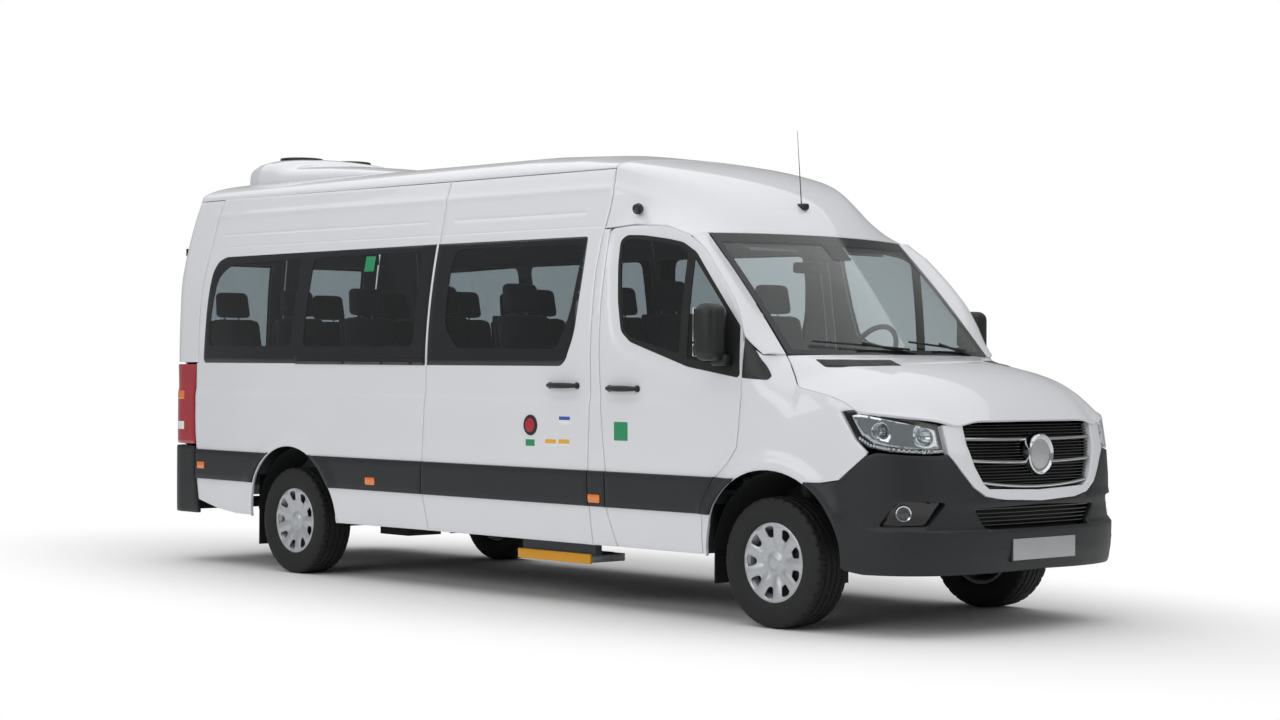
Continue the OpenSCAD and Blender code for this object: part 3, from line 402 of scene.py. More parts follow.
# A closed sheet from a grid of points, with a rolled edge and a back face at the given depth
def addGrid(name, grid, body, materials, depth=18, kinds=None, lip=2.2, slotName=None, backMaterial=None,
            sharp=32, middle=(-1500, 0, 1000)):
    grid = np.asarray(grid, float)
    rows, cols = grid.shape[:2]
    out = np.cross(np.gradient(grid, axis=0), np.gradient(grid, axis=1))
    out /= np.maximum(np.linalg.norm(out, axis=2), 1e-9)[:, :, None]
    flip = np.sum(out * (grid - np.array(middle))) < 0
    if flip:
        out = -out
    front = grid.copy()
    for at, near in (((0,), (1,)), ((-1,), (-2,)), ((slice(None), 0), (slice(None), 1)),
                     ((slice(None), -1), (slice(None), -2))):
        way = grid[near] - grid[at]
        front[at] += lip * way / np.maximum(np.linalg.norm(way, axis=-1), 1e-6)[..., None]
    faces = np.array(gridFaces(rows, cols))
    kindList = list(np.zeros(len(faces), int) if kinds is None else np.asarray(kinds).ravel())
    if not flip:
        faces = faces[:, ::-1]
    count = rows * cols
    allFaces = [tuple(f) for f in faces] + [tuple(f[::-1] + count) for f in faces]
    backKind = len(materials) if backMaterial else 0
    allKinds = kindList + [k if k else backKind for k in kindList]
    loop = ([c for c in range(cols)] + [r * cols + cols - 1 for r in range(1, rows)]
            + [(rows - 1) * cols + c for c in range(cols - 2, -1, -1)]
            + [r * cols for r in range(rows - 2, 0, -1)])
    rim = (grid - out * lip).reshape(-1, 3)[loop]
    rimIds = [2 * count + k for k in range(len(loop))]
    for near1, near2 in ((loop, rimIds), (rimIds, [i + count for i in loop])):
        for k in range(len(loop)):
            j = (k + 1) % len(loop)
            quad = (near1[k], near1[j], near2[j], near2[k])
            allFaces.append(quad[::-1] if flip else quad)
            allKinds.append(0)
    points = np.vstack([front.reshape(-1, 3), (grid - out * depth).reshape(-1, 3), rim])
    return addPiece(name, points, allFaces, list(materials) + ([backMaterial] if backMaterial else []), body,
                    allKinds, slotName, sharp)


# A tube of round section along points in millimetres
def tubeParts(path, radius, sides=10, closed=False):
    path = np.asarray(path, float)
    n = len(path)
    if closed:
        ways = np.roll(path, -1, 0) - np.roll(path, 1, 0)
    else:
        ways = np.gradient(path, axis=0)
    ways /= np.linalg.norm(ways, axis=1)[:, None]
    up = np.array([0, 0, 1.0]) if abs(ways[0][2]) < 0.9 else np.array([1.0, 0, 0])
    rings, radii = [], radius if np.ndim(radius) else [radius] * n
    for p, w, r in zip(path, ways, radii):
        side = np.cross(w, up)
        side /= np.linalg.norm(side)
        up = np.cross(side, w)
        rings.append([p + r * (math.cos(a) * side + math.sin(a) * up)
                      for a in np.arange(sides) * 2 * math.pi / sides])
    faces = gridFaces(n, sides, wrapCols=True, wrapRows=closed)
    if not closed:
        faces += [tuple(range(sides))[::-1], tuple(range((n - 1) * sides, n * sides))]
    return np.array(rings).reshape(-1, 3), faces


# A lathed form: profile of (radius, height) turned about an axis through centre
def latheParts(profile, centre, axis, steps=48, closed=True):
    axis = np.asarray(axis, float) / np.linalg.norm(axis)
    across = np.cross(axis, [0, 0, 1.0]) if abs(axis[2]) < 0.9 else np.cross(axis, [1.0, 0, 0])
    across /= np.linalg.norm(across)
    other = np.cross(axis, across)
    points = [np.asarray(centre, float) + axis * h + r * (math.cos(a) * across + math.sin(a) * other)
              for r, h in profile for a in np.arange(steps) * 2 * math.pi / steps]
    faces = gridFaces(len(profile), steps, wrapCols=True, wrapRows=closed)
    return np.array(points), [f[::-1] for f in faces]


# A box with rounded edges, by bmesh bevel
def blockParts(low, high, bevel=4, segments=3):
    bm = bmesh.new()
    bmesh.ops.create_cube(bm, size=1)
    low, high = np.array(low, float), np.array(high, float)
    for v in bm.verts:
        v.co = Vector((low + high) / 2 + np.array(v.co) * (high - low))
    bmesh.ops.bevel(bm, geom=bm.edges[:], offset=bevel, segments=segments, affect="EDGES", profile=0.5)
    bm.verts.ensure_lookup_table()
    points = np.array([v.co[:] for v in bm.verts])
    faces = [[v.index for v in f.verts] for f in bm.faces]
    bm.free()
    return points, faces


# ---- the body's outer surface, in millimetres; every function takes and gives arrays ----

halfWidth, beltHeight, creaseHeight = 1010, 1100, 2520
bodyBack = (cadLow.x - frontHub.x) / mm + 55
cornerStart, cornerRadius = bodyBack + 210, 210
hubHeight = frontHub.z / mm


def ramp(a, b, x):
    t = np.clip((np.asarray(x, float) - a) / (b - a), 0, 1)
    return t * t * (3 - 2 * t)


def hump(x, middle, width):
    return np.exp(-((x - middle) / width) ** 2)


def sectionHalf(z):
    above = halfWidth - 212 * (np.clip(z - beltHeight, 0, None) / 1420) ** 2.1
    below = halfWidth - 55 * (np.clip(beltHeight - z, 0, None) / 800) ** 2
    return np.where(z > beltHeight, above, below)


noseStart, noseHalf, nosePower = 470, 966, 2.8


# How far forward the nose reaches at a height
def noseFront(z):
    return np.interp(z, [300, 345, 420, 530, 548, 562, 640, 700, 722, 800, 950, 1093, 1150, 1300],
                     [988, 1014, 1032, 1038, 1036, 1006, 1006, 1014, 1006, 1003, 985, 948, 925, 850])


def flankNose(x, z):
    share = np.clip((x - noseStart) / (noseFront(z) - noseStart), 0, 0.999)
    return noseHalf * (1 - share ** nosePower) ** (1 / nosePower)


belt = {"step": 7, "top": 1200, "bottom": 1160}
frontWindow = outlined([(-1233, 2077), (-1186, 2107), (-1049, 2101), (-849, 2075), (-724, 2052),
                        (-609, 1995), (-436, 1816), (-203, 1572), (-11, 1322), (-28, 1302), (-225, 1315),
                        (-606, 1371), (-1071, 1507), (-1148, 1565), (-1191, 1730), (-1225, 1947)], 25, 60)


def flankY(x, z):
    y = sectionHalf(z)
    rearLimit = halfWidth - 70 * ramp(rearAxle - 200, cornerStart - 150, x)
    y = y - 0.5 * (np.sqrt((y - rearLimit) ** 2 + 400) + (y - rearLimit)) + 10
    y = y + (flankNose(x, z) - y) * ramp(-150, noseStart, x)
    y = (y - belt["step"] * ramp(belt["bottom"], belt["top"], z) * (1 - ramp(belt["top"], 1480,
                                                                             z)) * (1 - ramp(-900, -560, x)))
    shoulder = ramp(-5560, -5400, x) * (1 - ramp(-1520, -1100, x))
    y = y + 7 * hump(z, 2388, 22) * shoulder
    groove = ramp(-5290, -5270, x) * (1 - ramp(-3030, -3010, x)) + ramp(-2780, -2760,
                                                                        x) * (1 - ramp(-1570, -1540, x))
    y = y - 4 * hump(z, 2252, 7) * groove - 2.5 * hump(z, 2166, 4) * (1 - ramp(-1400, -1390, x))
    for axle, size in ((0, 26), (rearAxle, 14)):
        r = np.hypot(x - axle, z - hubHeight - 5)
        y = y + size * hump(r, 515, 45) * ramp(480, 640, z)
    near = (x > -1330) & (z > 1240)
    away = np.full(np.shape(x), 999.0)
    if near.any():
        away[near] = distanceTo(np.column_stack([x[near], z[near]]), frontWindow)
        away[near & inside(np.column_stack([x, z]), frontWindow)] = 0
    return y - 8 * (1 - ramp(55, 95, away)) * (1 - ramp(-230, -190, x))


def bodyBackAt(z):
    return bodyBack + np.interp(z, [300, 1450, 1900, 2250, 2420, creaseHeight, 2560],
                                [0, 0, 30, 75, 125, 200, 230])


# Side, rear corner and rear face in one sheet: u is x along the side, and goes on round the corner
def bodySurface(side):
    def surface(flat):
        u, z = flat[:, 0], flat[:, 1]
        y0 = flankY(np.maximum(u, cornerStart), z)
        s = np.clip(cornerStart - u, 0, None)
        a = np.clip(s / cornerRadius, 0, math.pi / 2)
        past = np.clip(s - cornerRadius * math.pi / 2, 0, None)
        back = bodyBackAt(z)
        x = np.where(u >= cornerStart, u, cornerStart - (cornerStart - back) * np.sin(a))
        y = y0 - cornerRadius * (1 - np.cos(a)) - past
        return np.column_stack([x, side * y, z])
    return surface


# Where a line at half width y on the rear corner lies in the sheet's own measure
def cornerU(y, z):
    y0 = flankY(np.full(np.shape(z), float(cornerStart)), np.asarray(z, float))
    turn = np.clip(1 - (y0 - y) / cornerRadius, -1, 1)
    u = cornerStart - cornerRadius * np.arccos(np.clip(turn, 0, 1))
    return u - np.clip(y0 - cornerRadius - y, 0, None)


def fromRearEdge(y, zs):
    return [(float(u), float(z)) for u, z in zip(cornerU(np.full(len(zs), float(y)), np.array(zs, float)),
                                                 zs)]


def arc(x, z, radius, a0, a1, n):
    return [(x + radius * math.cos(math.radians(a)), z + radius * math.sin(math.radians(a)))
            for a in np.linspace(a0, a1, n)]


archRadius = 478
sillTop = 352
trimLow, trimHigh = 577, 783
slideBack = -2884
slideFrontEdge = [(-1389, 356), (-1400, 573), (-1401, 782), (-1382, 1206), (-1391, 1552), (-1398, 1900),
                  (-1385, 2100), (-1364, 2250), (-1362, 2363), (-1386, 2500)]
slideBackEdge = [(-2884, 2500), (-2882, 2393), (-2868, 2136), (-2876, 1667), (-2883, 1386), (-2886, 1199),
                 (-2918, 786), (-2929, 579), (-2892, 356)]
doorRear = [(-1184, 358), (-1254, 553), (-1254, 794), (-1284, 1069), (-1304, 1275), (-1327, 1724),
            (-1325, 1932), (-1329, 2150)]
doorTop = [(-1134, 2165), (-862, 2146), (-669, 2088), (-540, 2010), (-381, 1852), (-268, 1724), (-209, 1617),
           (-192, 1530)]
doorFront = [(-185, 1319), (-189, 1213), (-207, 1038), (-222, 941), (-288, 860), (-380, 778), (-449, 678),
             (-484, 569), (-506, 461), (-504, 358)]
rearSeam = [(-5478, 1383), (-5470, 1676), (-5440, 1952), (-5412, 2162), (-5400, 2330), (-5392, 2440)]
rearArch = arc(rearAxle, hubHeight + 5, archRadius, 180, 0, 25)
archFoot = [(rearAxle + archRadius + 2, 400), (rearAxle + archRadius - 2, sillTop)]
shutGap = 2.6  # half of what is left open between two panels
paintEdge = {"depth": 18, "lip": 2.2}
sideOf = {"right": -1, "left": 1}


# Rows of the grid that follow the pressed lines of the side
pressRows = ([belt["bottom"] + k for k in (0, 8, 16, 24, 32, 40)] + [2156, 2160, 2163, 2166, 2169, 2172,
                                                                     2176] + [2240, 2246, 2249, 2252, 2255,
                                                                              2258, 2264]
             + list(range(2350, 2430, 9)))
bandTop, bandBottom = 2114, 1372
quarterBand = outlined([(-2890, bandTop), (-5196, 2101), (-5290, 2070), (-5340, 1990), (-5392, 1560),
                        (-5408, 1400), (-5390, bandBottom), (-2890, bandBottom)],
                       [4, 30, 60, 60, 30, 40, 20, 4])
slideBand = outlined([(slideBack + 8, bandTop), (-1503, bandTop), (-1500, 1903), (-1529, 1554),
                      (-1596, 1400), (-1640, bandBottom - 6), (slideBack + 8, bandBottom - 6)],
                     [4, 25, 90, 120, 70, 60, 4])


def bodySide(name):
    side = sideOf[name]
    surface = bodySurface(side)
    # rear quarter, from the sliding door's line to the rear seam
    lampFront = [(-5500, 803), (-5512, 870), (-5520, 1000), (-5516, 1250), (-5505, 1372)]
    quarter = outlined([(-2892, 356)] + slideBackEdge[::-1][1:] + [(-5380, 2506)] + rearSeam[::-1]
                       + lampFront[::-1] + [(-5503, 626), (-5468, 433), (-5205, 381), (-4980, 358),
                                            (rearAxle - archRadius + 3, 356)] + rearArch + archFoot, 0, 22)
    addSheet(f"rear_quarter_{name}", surface, quarter, "shell", [enamel], [shifted(quarterBand, 35)],
             gap=shutGap, rowsAt=pressRows, backMaterial=liningFelt, edgeMaterial=enamel, slotName="paint",
             **paintEdge)
    # corner post above the lamp, round to the rear door
    postHeights = [1376, 1500, 1676, 1800, 1952, 2060, 2162, 2250, 2330, 2440, 2500]
    edge = fromRearEdge(823, postHeights)
    post = outlined(edge[::-1] + [(-5484, 1376)] + rearSeam + [(-5380, 2500)], 0, 22)
    addSheet(f"corner_post_{name}", surface, post, "shell", [enamel], gap=shutGap,
             backMaterial=liningFelt, slotName="paint", **paintEdge)
    # the quarter's glass: black frit round two panes
    panes = [outlined([(-3015, 2068), (-4160, 2062), (-4182, 1485), (-3020, 1485)], 50),
             outlined([(-4300, 2060), (-5130, 2040), (-5262, 1960), (-5335, 1560), (-5318, 1490),
                       (-4322, 1485)], [50, 60, 90, 60, 40, 50])]
    addSheet(f"quarter_glass_{name}", surface, quarterBand, "shell", [frit, sideGlass], gap=3, depth=6,
             lip=1.2, lift=1.2, panes=panes, slotName="clear_glass", gridStep=45)


for sideName in ("right", "left"):
    bodySide(sideName)
print("rear quarters built")


# ---- sliding door, door pillar and cab doors ----

slidePane = outlined([(-2688, 2073), (-1529, 2062), (-1580, 1660), (-1684, 1468), (-2593, 1473),
                      (-2716, 1608), (-2720, 1943)], [60, 60, 120, 60, 60, 60, 60])
slideOutline = outlined(slideFrontEdge + slideBackEdge, 0, 22)


def frontDoorOutline():
    return outlined(doorRear + doorTop + doorFront, [30] + [0] * 6 + [50] + [60] * 7 + [20] + [0] * 9
                    + [25], 20)


def cabSide(name):
    side = sideOf[name]
    surface = bodySurface(side)
    doorBody = "front_door_" + name
    addSheet(f"side_door_{name}", surface, slideOutline, "shell", [enamel], [shifted(slideBand, 35)],
             gap=shutGap, rowsAt=pressRows, backMaterial=liningFelt, slotName="paint", **paintEdge)
    addSheet(f"side_door_glass_{name}", surface, slideBand, "shell", [frit, sideGlass], gap=3, depth=6,
             lip=1.2, lift=1.2, panes=[slidePane], slotName="clear_glass", gridStep=45)
    pillar = outlined([p for p in slideFrontEdge if p[1] < 2150] + [(-1379, 2150), (-1329, 2150)]
                      + doorRear[::-1], 0, 22)
    addSheet(f"door_pillar_{name}", surface, pillar, "shell", [enamel], gap=shutGap, backMaterial=liningFelt,
             rowsAt=pressRows[:6], slotName="paint", **paintEdge)
    door = frontDoorOutline()
    # the door's part of the window stops at its front shut line
    doorWindow = outlined([(-1233, 2077), (-1186, 2107), (-1049, 2101), (-849, 2075), (-724, 2052),
                           (-609, 1995), (-436, 1816), (-215, 1585), (-205, 1330), (-225, 1315),
                           (-606, 1371), (-1071, 1507), (-1148, 1565), (-1191, 1730), (-1225, 1947)],
                          [25] * 7 + [5, 5, 10] + [25] * 5, 22)
    addSheet(f"cab_door_{name}", surface, door, doorBody, [enamel], [shifted(doorWindow, 14)], gap=shutGap,
             rowsAt=pressRows[:6], backMaterial=dashSkin, slotName="paint", gridStep=26, **paintEdge)
    mainPane = outlined([(-1205, 2070), (-1170, 2082), (-1049, 2076), (-849, 2050), (-735, 2026),
                         (-670, 1990), (-672, 1440), (-1060, 1530), (-1125, 1580), (-1166, 1735),
                         (-1198, 1945)], 18, 25)
    quarterPane = outlined([(-612, 1960), (-452, 1800), (-330, 1672), (-330, 1375), (-612, 1415)], 16, 25)
    addSheet(f"cab_door_glass_{name}", surface, doorWindow, doorBody, [sealRubber, sideGlass], depth=7,
             lip=2.5, lift=3.0, panes=[mainPane, quarterPane], slotName="clear_glass", gridStep=40, gap=-1)
    sail = outlined([(-184, 1541), (-11, 1322), (-28, 1302), (-184, 1312)], [8, 10, 10, 8], 20)
    addSheet(f"sail_cover_{name}", wingSurface(side), sail, "shell", [blackPlastic], depth=8, lip=2.5,
             lift=4.0, slotName="black_plastic", gridStep=24, gap=1)


# ---- wings, bonnet, windscreen, dome and roof ----

shutLine = np.array([(-192, 1512), (-80, 1436), (-17, 1438), (40, 1395), (97, 1330), (125, 1292),
                     (160, 1270), (385, 1228), (478, 1197), (565, 1150), (640, 1150)], float)
shutEdge = np.array([(-192, 992), (-80, 952), (-17, 842), (40, 872), (110, 905), (170, 945), (400, 950),
                     (485, 945), (600, 938)], float)


def wingSurface(side):
    def surface(flat):
        x, z = flat[:, 0], flat[:, 1]
        top = np.interp(x, shutLine[:, 0], shutLine[:, 1])
        edge = np.interp(x, shutEdge[:, 0], shutEdge[:, 1])
        k = np.clip((z - top + 260) / 260, 0, 1.05)
        y = flankY(x, z)
        return np.column_stack([x, side * (y - np.clip(flankY(x, top) - edge, 0, None) * k ** 2.2), z])
    return surface


def frontWing(name):
    side = sideOf[name]
    arch = [p for p in arc(0, hubHeight + 5, archRadius, 60, 180, 22)]
    outline = outlined([(-190, 1322)] + [tuple(p) for p in shutLine[:9]] + [(556, 1156), (474, 1148),
                                                                            (573, 1009), (646, 946),
                                                                            (640, 928), (583, 882),
                                                                            (466, 795), (351, 778),
                                                                            (247, 776)] + arch
                       + [(-479, 356), (-503, 358)] + doorFront[::-1][1:-1], 0, 20)
    addSheet(f"front_wing_{name}", wingSurface(side), outline, "shell", [enamel], gap=shutGap, gridStep=24,
             rowsAt=pressRows[:6], backMaterial=dipCoat, slotName="paint", **paintEdge)


bonnetShape = {"rear": 190, "rearBow": 200, "front": 962, "fall": 329, "top": 1441}


def bonnetPoint(s, t):
    a = np.abs(t)
    xr = bonnetShape["rear"] - bonnetShape["rearBow"] * a ** 2
    xf = bonnetShape["front"] - 30 * a ** 2 - 332 * a ** 5.5
    x = xr + (xf - xr) * s
    edgeX = -10 + 610 * s
    edgeY = np.interp(edgeX, shutEdge[:, 0], shutEdge[:, 1]) - 5
    edgeZ = np.interp(edgeX, shutLine[:, 0], shutLine[:, 1])
    fall = 0.35 * a ** 2.2 + 0.65 * a ** 4.2
    centre = bonnetShape["top"] - (0.3 * s + 0.7 * s ** 3.4) * bonnetShape["fall"]
    z = centre - (centre - edgeZ) * fall + 7 * hump(a, 0.72, 0.07) * np.sin(math.pi * np.clip(s, 0, 1))
    endCentre = bonnetShape["top"] - bonnetShape["fall"]
    base = endCentre - (endCentre - 1150) * fall
    frontZ = 1105 + 45 * a ** 6 - 25 * np.exp(-((a - 0.62) / 0.09) ** 2)
    return np.stack([x, t * edgeY, z + s ** 8 * (frontZ - base)], axis=-1)


def bonnetGrid():
    s = np.linspace(0, 1, 44)[:, None] ** 0.85 * np.ones((1, 81))
    t = np.linspace(-1, 1, 81)[None, :] * np.ones((44, 1))
    return bonnetPoint(s, np.sign(t) * (1 - (1 - np.abs(t)) ** 1.25))


# Slatted air vents let into the back corners of the bonnet
def bonnetVent(name, side):
    def surface(flat):
        return bonnetPoint(flat[:, 1] / 800, side * flat[:, 0] / 900)
    frameLoop = outlined([(774, 58), (760, 136), (430, 300), (385, 158)], [14, 14, 20, 20], 16)
    addSheet(name, surface, frameLoop, "bonnet", [blackPlastic], depth=5, lip=1.5, lift=2.0, gridStep=24)
    for k in range(7):
        share = (k + 0.7) / 7.4
        a0, a1 = np.array([757, 66]), np.array([746, 130])
        b0, b1 = np.array([396, 168]), np.array([436, 286])
        p, q = a0 + (a1 - a0) * share, b0 + (b1 - b0) * share
        slat = outlined([p, q, q + np.array([2, 7]), p + np.array([1, 4])], 0, 30)
        addSheet(f"{name}_slat_{k + 1}", surface, slat, "bonnet", [pianoBlack], depth=3, lip=0.8, lift=4.2,
                 gridStep=40)


screen = {"topX": -520, "topBow": 132, "topZ": 2112, "topY": 795, "footX": 150, "footBow": 167,
          "footZ": 1440, "footY": 839, "bulge": 12}


def screenPoint(k, t):
    y0, y1 = screen["topY"] * t, screen["footY"] * t
    top = np.stack([screen["topX"] - screen["topBow"] * t ** 2, y0, screen["topZ"] - 6 * t ** 2 + 0 * t], -1)
    foot = np.stack([screen["footX"] - screen["footBow"] * t ** 2, y1, screen["footZ"] - 2 * t ** 2
                     + 0 * t], -1)
    k = np.asarray(k)[..., None]
    return top + (foot - top) * k + screen["bulge"] * np.sin(math.pi * k) * np.array([0.7, 0, 0.7])


def addScreen():
    ks = np.unique(np.concatenate([np.linspace(0, 1, 30), [0.075, 0.962]]))
    ts = np.unique(np.concatenate([np.linspace(-1, 1, 45), [-0.955, 0.955]]))
    k, t = np.meshgrid(ks, ts, indexing="ij")
    grid = screenPoint(k, t * 0.994)
    kc, tc = (ks[:-1] + ks[1:]) / 2, (ts[:-1] + ts[1:]) / 2
    clear = (kc[:, None] > 0.075) & (kc[:, None] < 0.962) & (np.abs(tc)[None, :] < 0.955)
    clear &= ~((kc[:, None] < 0.2) & (np.abs(tc)[None, :] < 0.085))
    piece = addGrid("windscreen_glass", grid, "shell", [frit, screenGlass], depth=7, lip=1.5,
                    kinds=np.where(clear, 1, 0), slotName="clear_glass")
    return piece


def pillarStrip(name):
    side = sideOf[name]
    k = np.linspace(0, 1, 46)
    inner = screenPoint(k, np.full(len(k), 1.004))
    line = np.array([(-669, 2094), (-540, 2016), (-381, 1858), (-268, 1730), (-203, 1619), (-176, 1530),
                     (-80, 1438)], float)
    along = np.concatenate([[0], np.cumsum(np.hypot(*np.diff(line, axis=0).T))])
    outX = np.interp(k, along / along[-1], line[:, 0])
    outZ = np.interp(k, along / along[-1], line[:, 1])
    smooth = np.convolve(np.pad(outX, 3, "edge"), np.ones(7) / 7, "valid")
    outX = np.where((k > 0.1) & (k < 0.9), smooth, outX)
    outer = np.column_stack([outX, flankY(outX, outZ), outZ])
    outer[-8:, 1] = np.linspace(outer[-8, 1], 955, 8)
    grid = []
    for a, b in zip(inner, outer):
        across = np.linspace(0, 1, 12)[:, None]
        bow = np.sin(math.pi * across) * np.array([8, 16, 8])
        grid.append((a + (b - a) * across + bow) * np.array([1, side, 1]))
    addGrid(f"screen_pillar_{name}", grid, "shell", [enamel], depth=14, slotName="paint",
            backMaterial=liningFelt)


crownLine = np.array([(-5700, 2660), (-2300, 2660), (-1800, 2637), (-1450, 2592), (-1380, 2578)], float)
creaseShare = 0.66


def domeGrid():
    rows, cols = 46, 97
    t = np.linspace(-1, 1, cols)
    a = np.abs(t)
    slideX, slideZ = np.array(slideFrontEdge).T
    angle = np.clip(1 - a / creaseShare, 0, 1) * math.pi / 2
    z = np.where(a < creaseShare, creaseHeight - 20 + 78 * np.sin(angle) ** 0.9,
                 creaseHeight - 20 - 340 * (a - creaseShare) / (1 - creaseShare))
    x = np.where(a < creaseShare, -1381, np.interp(z, slideZ, slideX) + 6)
    y = np.where(a < creaseShare, flankY(x, np.full(cols, creaseHeight - 20.0)) * np.cos(angle),
                 flankY(x, z))
    back = np.stack([x, np.sign(t) * y, z], 1)
    cornerShare = 0.87
    q = np.clip(a / cornerShare, 0, 1)
    top = screenPoint(np.zeros(cols), q * 0.998) + np.array([-3, 0, 3])
    end = np.array([-669, float(flankY(np.array([-669.0]), np.array([2094.0]))[0]), 2094])
    r = np.clip((a - cornerShare) / (1 - cornerShare), 0, 1)[:, None]
    front = top * (1 - r) + end * r
    front[:, 1] *= np.where(t < 0, -1, 1)
    edge = ramp(0.45, 1.0, a)[:, None]
    lead = np.array([1000, 0, -200]) * (1 - edge) + (front - back) * edge
    trail = np.array([700, 0, -850]) * (1 - edge) + (front - back) * edge
    s = np.linspace(0, 1, rows)[:, None, None]
    grid = ((2 * s ** 3 - 3 * s ** 2 + 1) * back + (s ** 3 - 2 * s ** 2 + s) * lead
            + (3 * s ** 2 - 2 * s ** 3) * front + (s ** 3 - s ** 2) * trail)
    sideX = grid[:, 0, 0]
    sideZ = np.interp(sideX, [-1400, -1329, -1134, -862, -669], [2156, 2156, 2171, 2152, 2094])
    sideY = flankY(sideX, sideZ)
    for col, sign in ((0, -1), (-1, 1)):
        wanted = np.column_stack([sideX, sign * sideY, sideZ])
        shift = (wanted - grid[:, col])[:, None, :]
        weight = ramp(creaseShare, 1.0, a) * (t * sign > 0)
        grid = grid + shift * weight[None, :, None]
    return grid


def roofGrid():
    endU = float(cornerU(np.array([0.0]), np.array([float(creaseHeight)]))[0])
    us = np.concatenate([np.arange(-1388, cornerStart, -38), np.linspace(cornerStart, endU + 1, 34)])
    rim = bodySurface(1)(np.column_stack([us, np.full(len(us), creaseHeight - 18.0)]))
    spine = np.where(us > -5200, us, -5200 - (-5200 - us) * 300 / (-5200 - endU))
    grid = []
    for side in (1, -1):
        half = []
        for r, x in zip(rim, spine):
            crown = np.interp(x, crownLine[:, 0], crownLine[:, 1])
            k = np.linspace(0, 1, 26)
            share = 1 - np.cos(k * math.pi / 2)
            px = r[0] + (x - r[0]) * share
            py = r[1] * (1 - share)
            pz = r[2] + (crown - r[2]) * np.sin(k * math.pi / 2) ** 0.9
            half.append(np.column_stack([px, side * py, pz]))
        grid.append(np.array(half))
    return np.concatenate([grid[0], grid[1][:, ::-1][:, 1:]], axis=1)


for sideName in ("right", "left"):
    cabSide(sideName)
    frontWing(sideName)
    pillarStrip(sideName)
addGrid("bonnet_panel", bonnetGrid(), "bonnet", [enamel], depth=14, slotName="paint", backMaterial=dipCoat)
bonnetVent("bonnet_vent_left", 1)
bonnetVent("bonnet_vent_right", -1)
addScreen()
addGrid("dome_panel", domeGrid(), "shell", [enamel], depth=14, slotName="paint", backMaterial=liningFelt)
addGrid("roof_skin", roofGrid(), "shell", [enamel], depth=14, slotName="paint", backMaterial=liningFelt)
print("upper body built")


# ---- front end: everything on the nose is laid out by distance round it from the middle, and height ----

noseTurn = np.linspace(math.pi / 2, 0, 721)
noseRun = np.column_stack([noseStart + (1008 - noseStart) * np.sin(noseTurn) ** (2 / nosePower),
                           noseHalf * np.cos(noseTurn) ** (2 / nosePower)])
noseArc = np.concatenate([[0], np.cumsum(np.hypot(*np.diff(noseRun, axis=0).T))])
noseLength = noseArc[-1]


def noseSurface(flat):
    u, z = flat[:, 0], flat[:, 1]
    a = np.abs(u)
    w = np.interp(a, noseArc, noseTurn)
    x = np.where(a <= noseLength, noseStart + (noseFront(z) - noseStart) * np.sin(w) ** (2 / nosePower),
                 noseStart - (a - noseLength))
    y = np.where(a <= noseLength, noseHalf * np.abs(np.cos(w)) ** (2 / nosePower), flankY(x, z))
    return np.column_stack([x, np.sign(u) * y, z])


def byY(y, z):
    w = math.acos(min(1, abs(y) / noseHalf) ** (nosePower / 2))
    return (float(np.interp(-w, -noseTurn, noseArc)), z)


def byX(x, z):
    if x <= noseStart:
        return (noseLength + noseStart - x, z)
    w = math.asin(min(1, (x - noseStart) / (float(noseFront(z)) - noseStart)) ** (nosePower / 2))
    return (float(np.interp(-w, -noseTurn, noseArc)), z)


def bothHalves(half):
    return list(half) + [(-u, z) for u, z in list(half)[::-1] if u > 0.01]


def onSide(points, side):
    return [(side * u, z) for u, z in points]


surroundOuter = [(645, 936), (618, 906), (560, 830), (505, 767), (424, 718), (295, 698), (0, 685)]
openingHalf = [(0, 745), (400, 757), (440, 785), (490, 872), (527, 980), (532, 1066), (515, 1090)]
archFront = [byX(archRadius * math.cos(math.radians(a)), hubHeight + 5
                 + archRadius * math.sin(math.radians(a))) for a in range(0, 61, 4)]
bumperHalf = ([(0, 328), byY(300, 323), byY(700, 319), byX(620, 322), byX(500, 336)] + archFront
              + [byX(247, 778), byX(351, 778), byX(466, 795), byX(583, 882), byX(645, 930), byX(693, 944),
                 byX(730, 941), byY(834, 932), byY(698, 930)] + [byY(y, z) for y, z in surroundOuter])
fogRecess = [byX(704, 569), byY(880, 702), byY(665, 691), byY(755, 573)]
intakeHalf = [(0, 553), byY(425, 555), byY(500, 655), (0, 668)]
lampOutline = [byX(465, 1149), byX(591, 1154), byY(813, 1115), byY(663, 1083), byY(660, 1015), byY(645, 941),
               byY(698, 938), byY(834, 940), byX(730, 949), byX(650, 965), byX(573, 1009)]
upright = [byY(y, z) for y, z in surroundOuter]


def discParts(centre, out, radius, depth, dome=0.0, edge=2.0, steps=40):
    profile = [(0, dome), (radius * 0.5, dome * 0.75), (radius - edge, 0.02), (radius, -edge),
               (radius, -depth), (0, -depth)]
    return latheParts(profile, centre, out, steps, closed=False)


def noseFrame(point):
    flat = np.array([point], float)
    out = surfaceNormals(noseSurface, flat)[0]
    place = noseSurface(flat)[0]
    return place, out if out[0] > 0 else -out


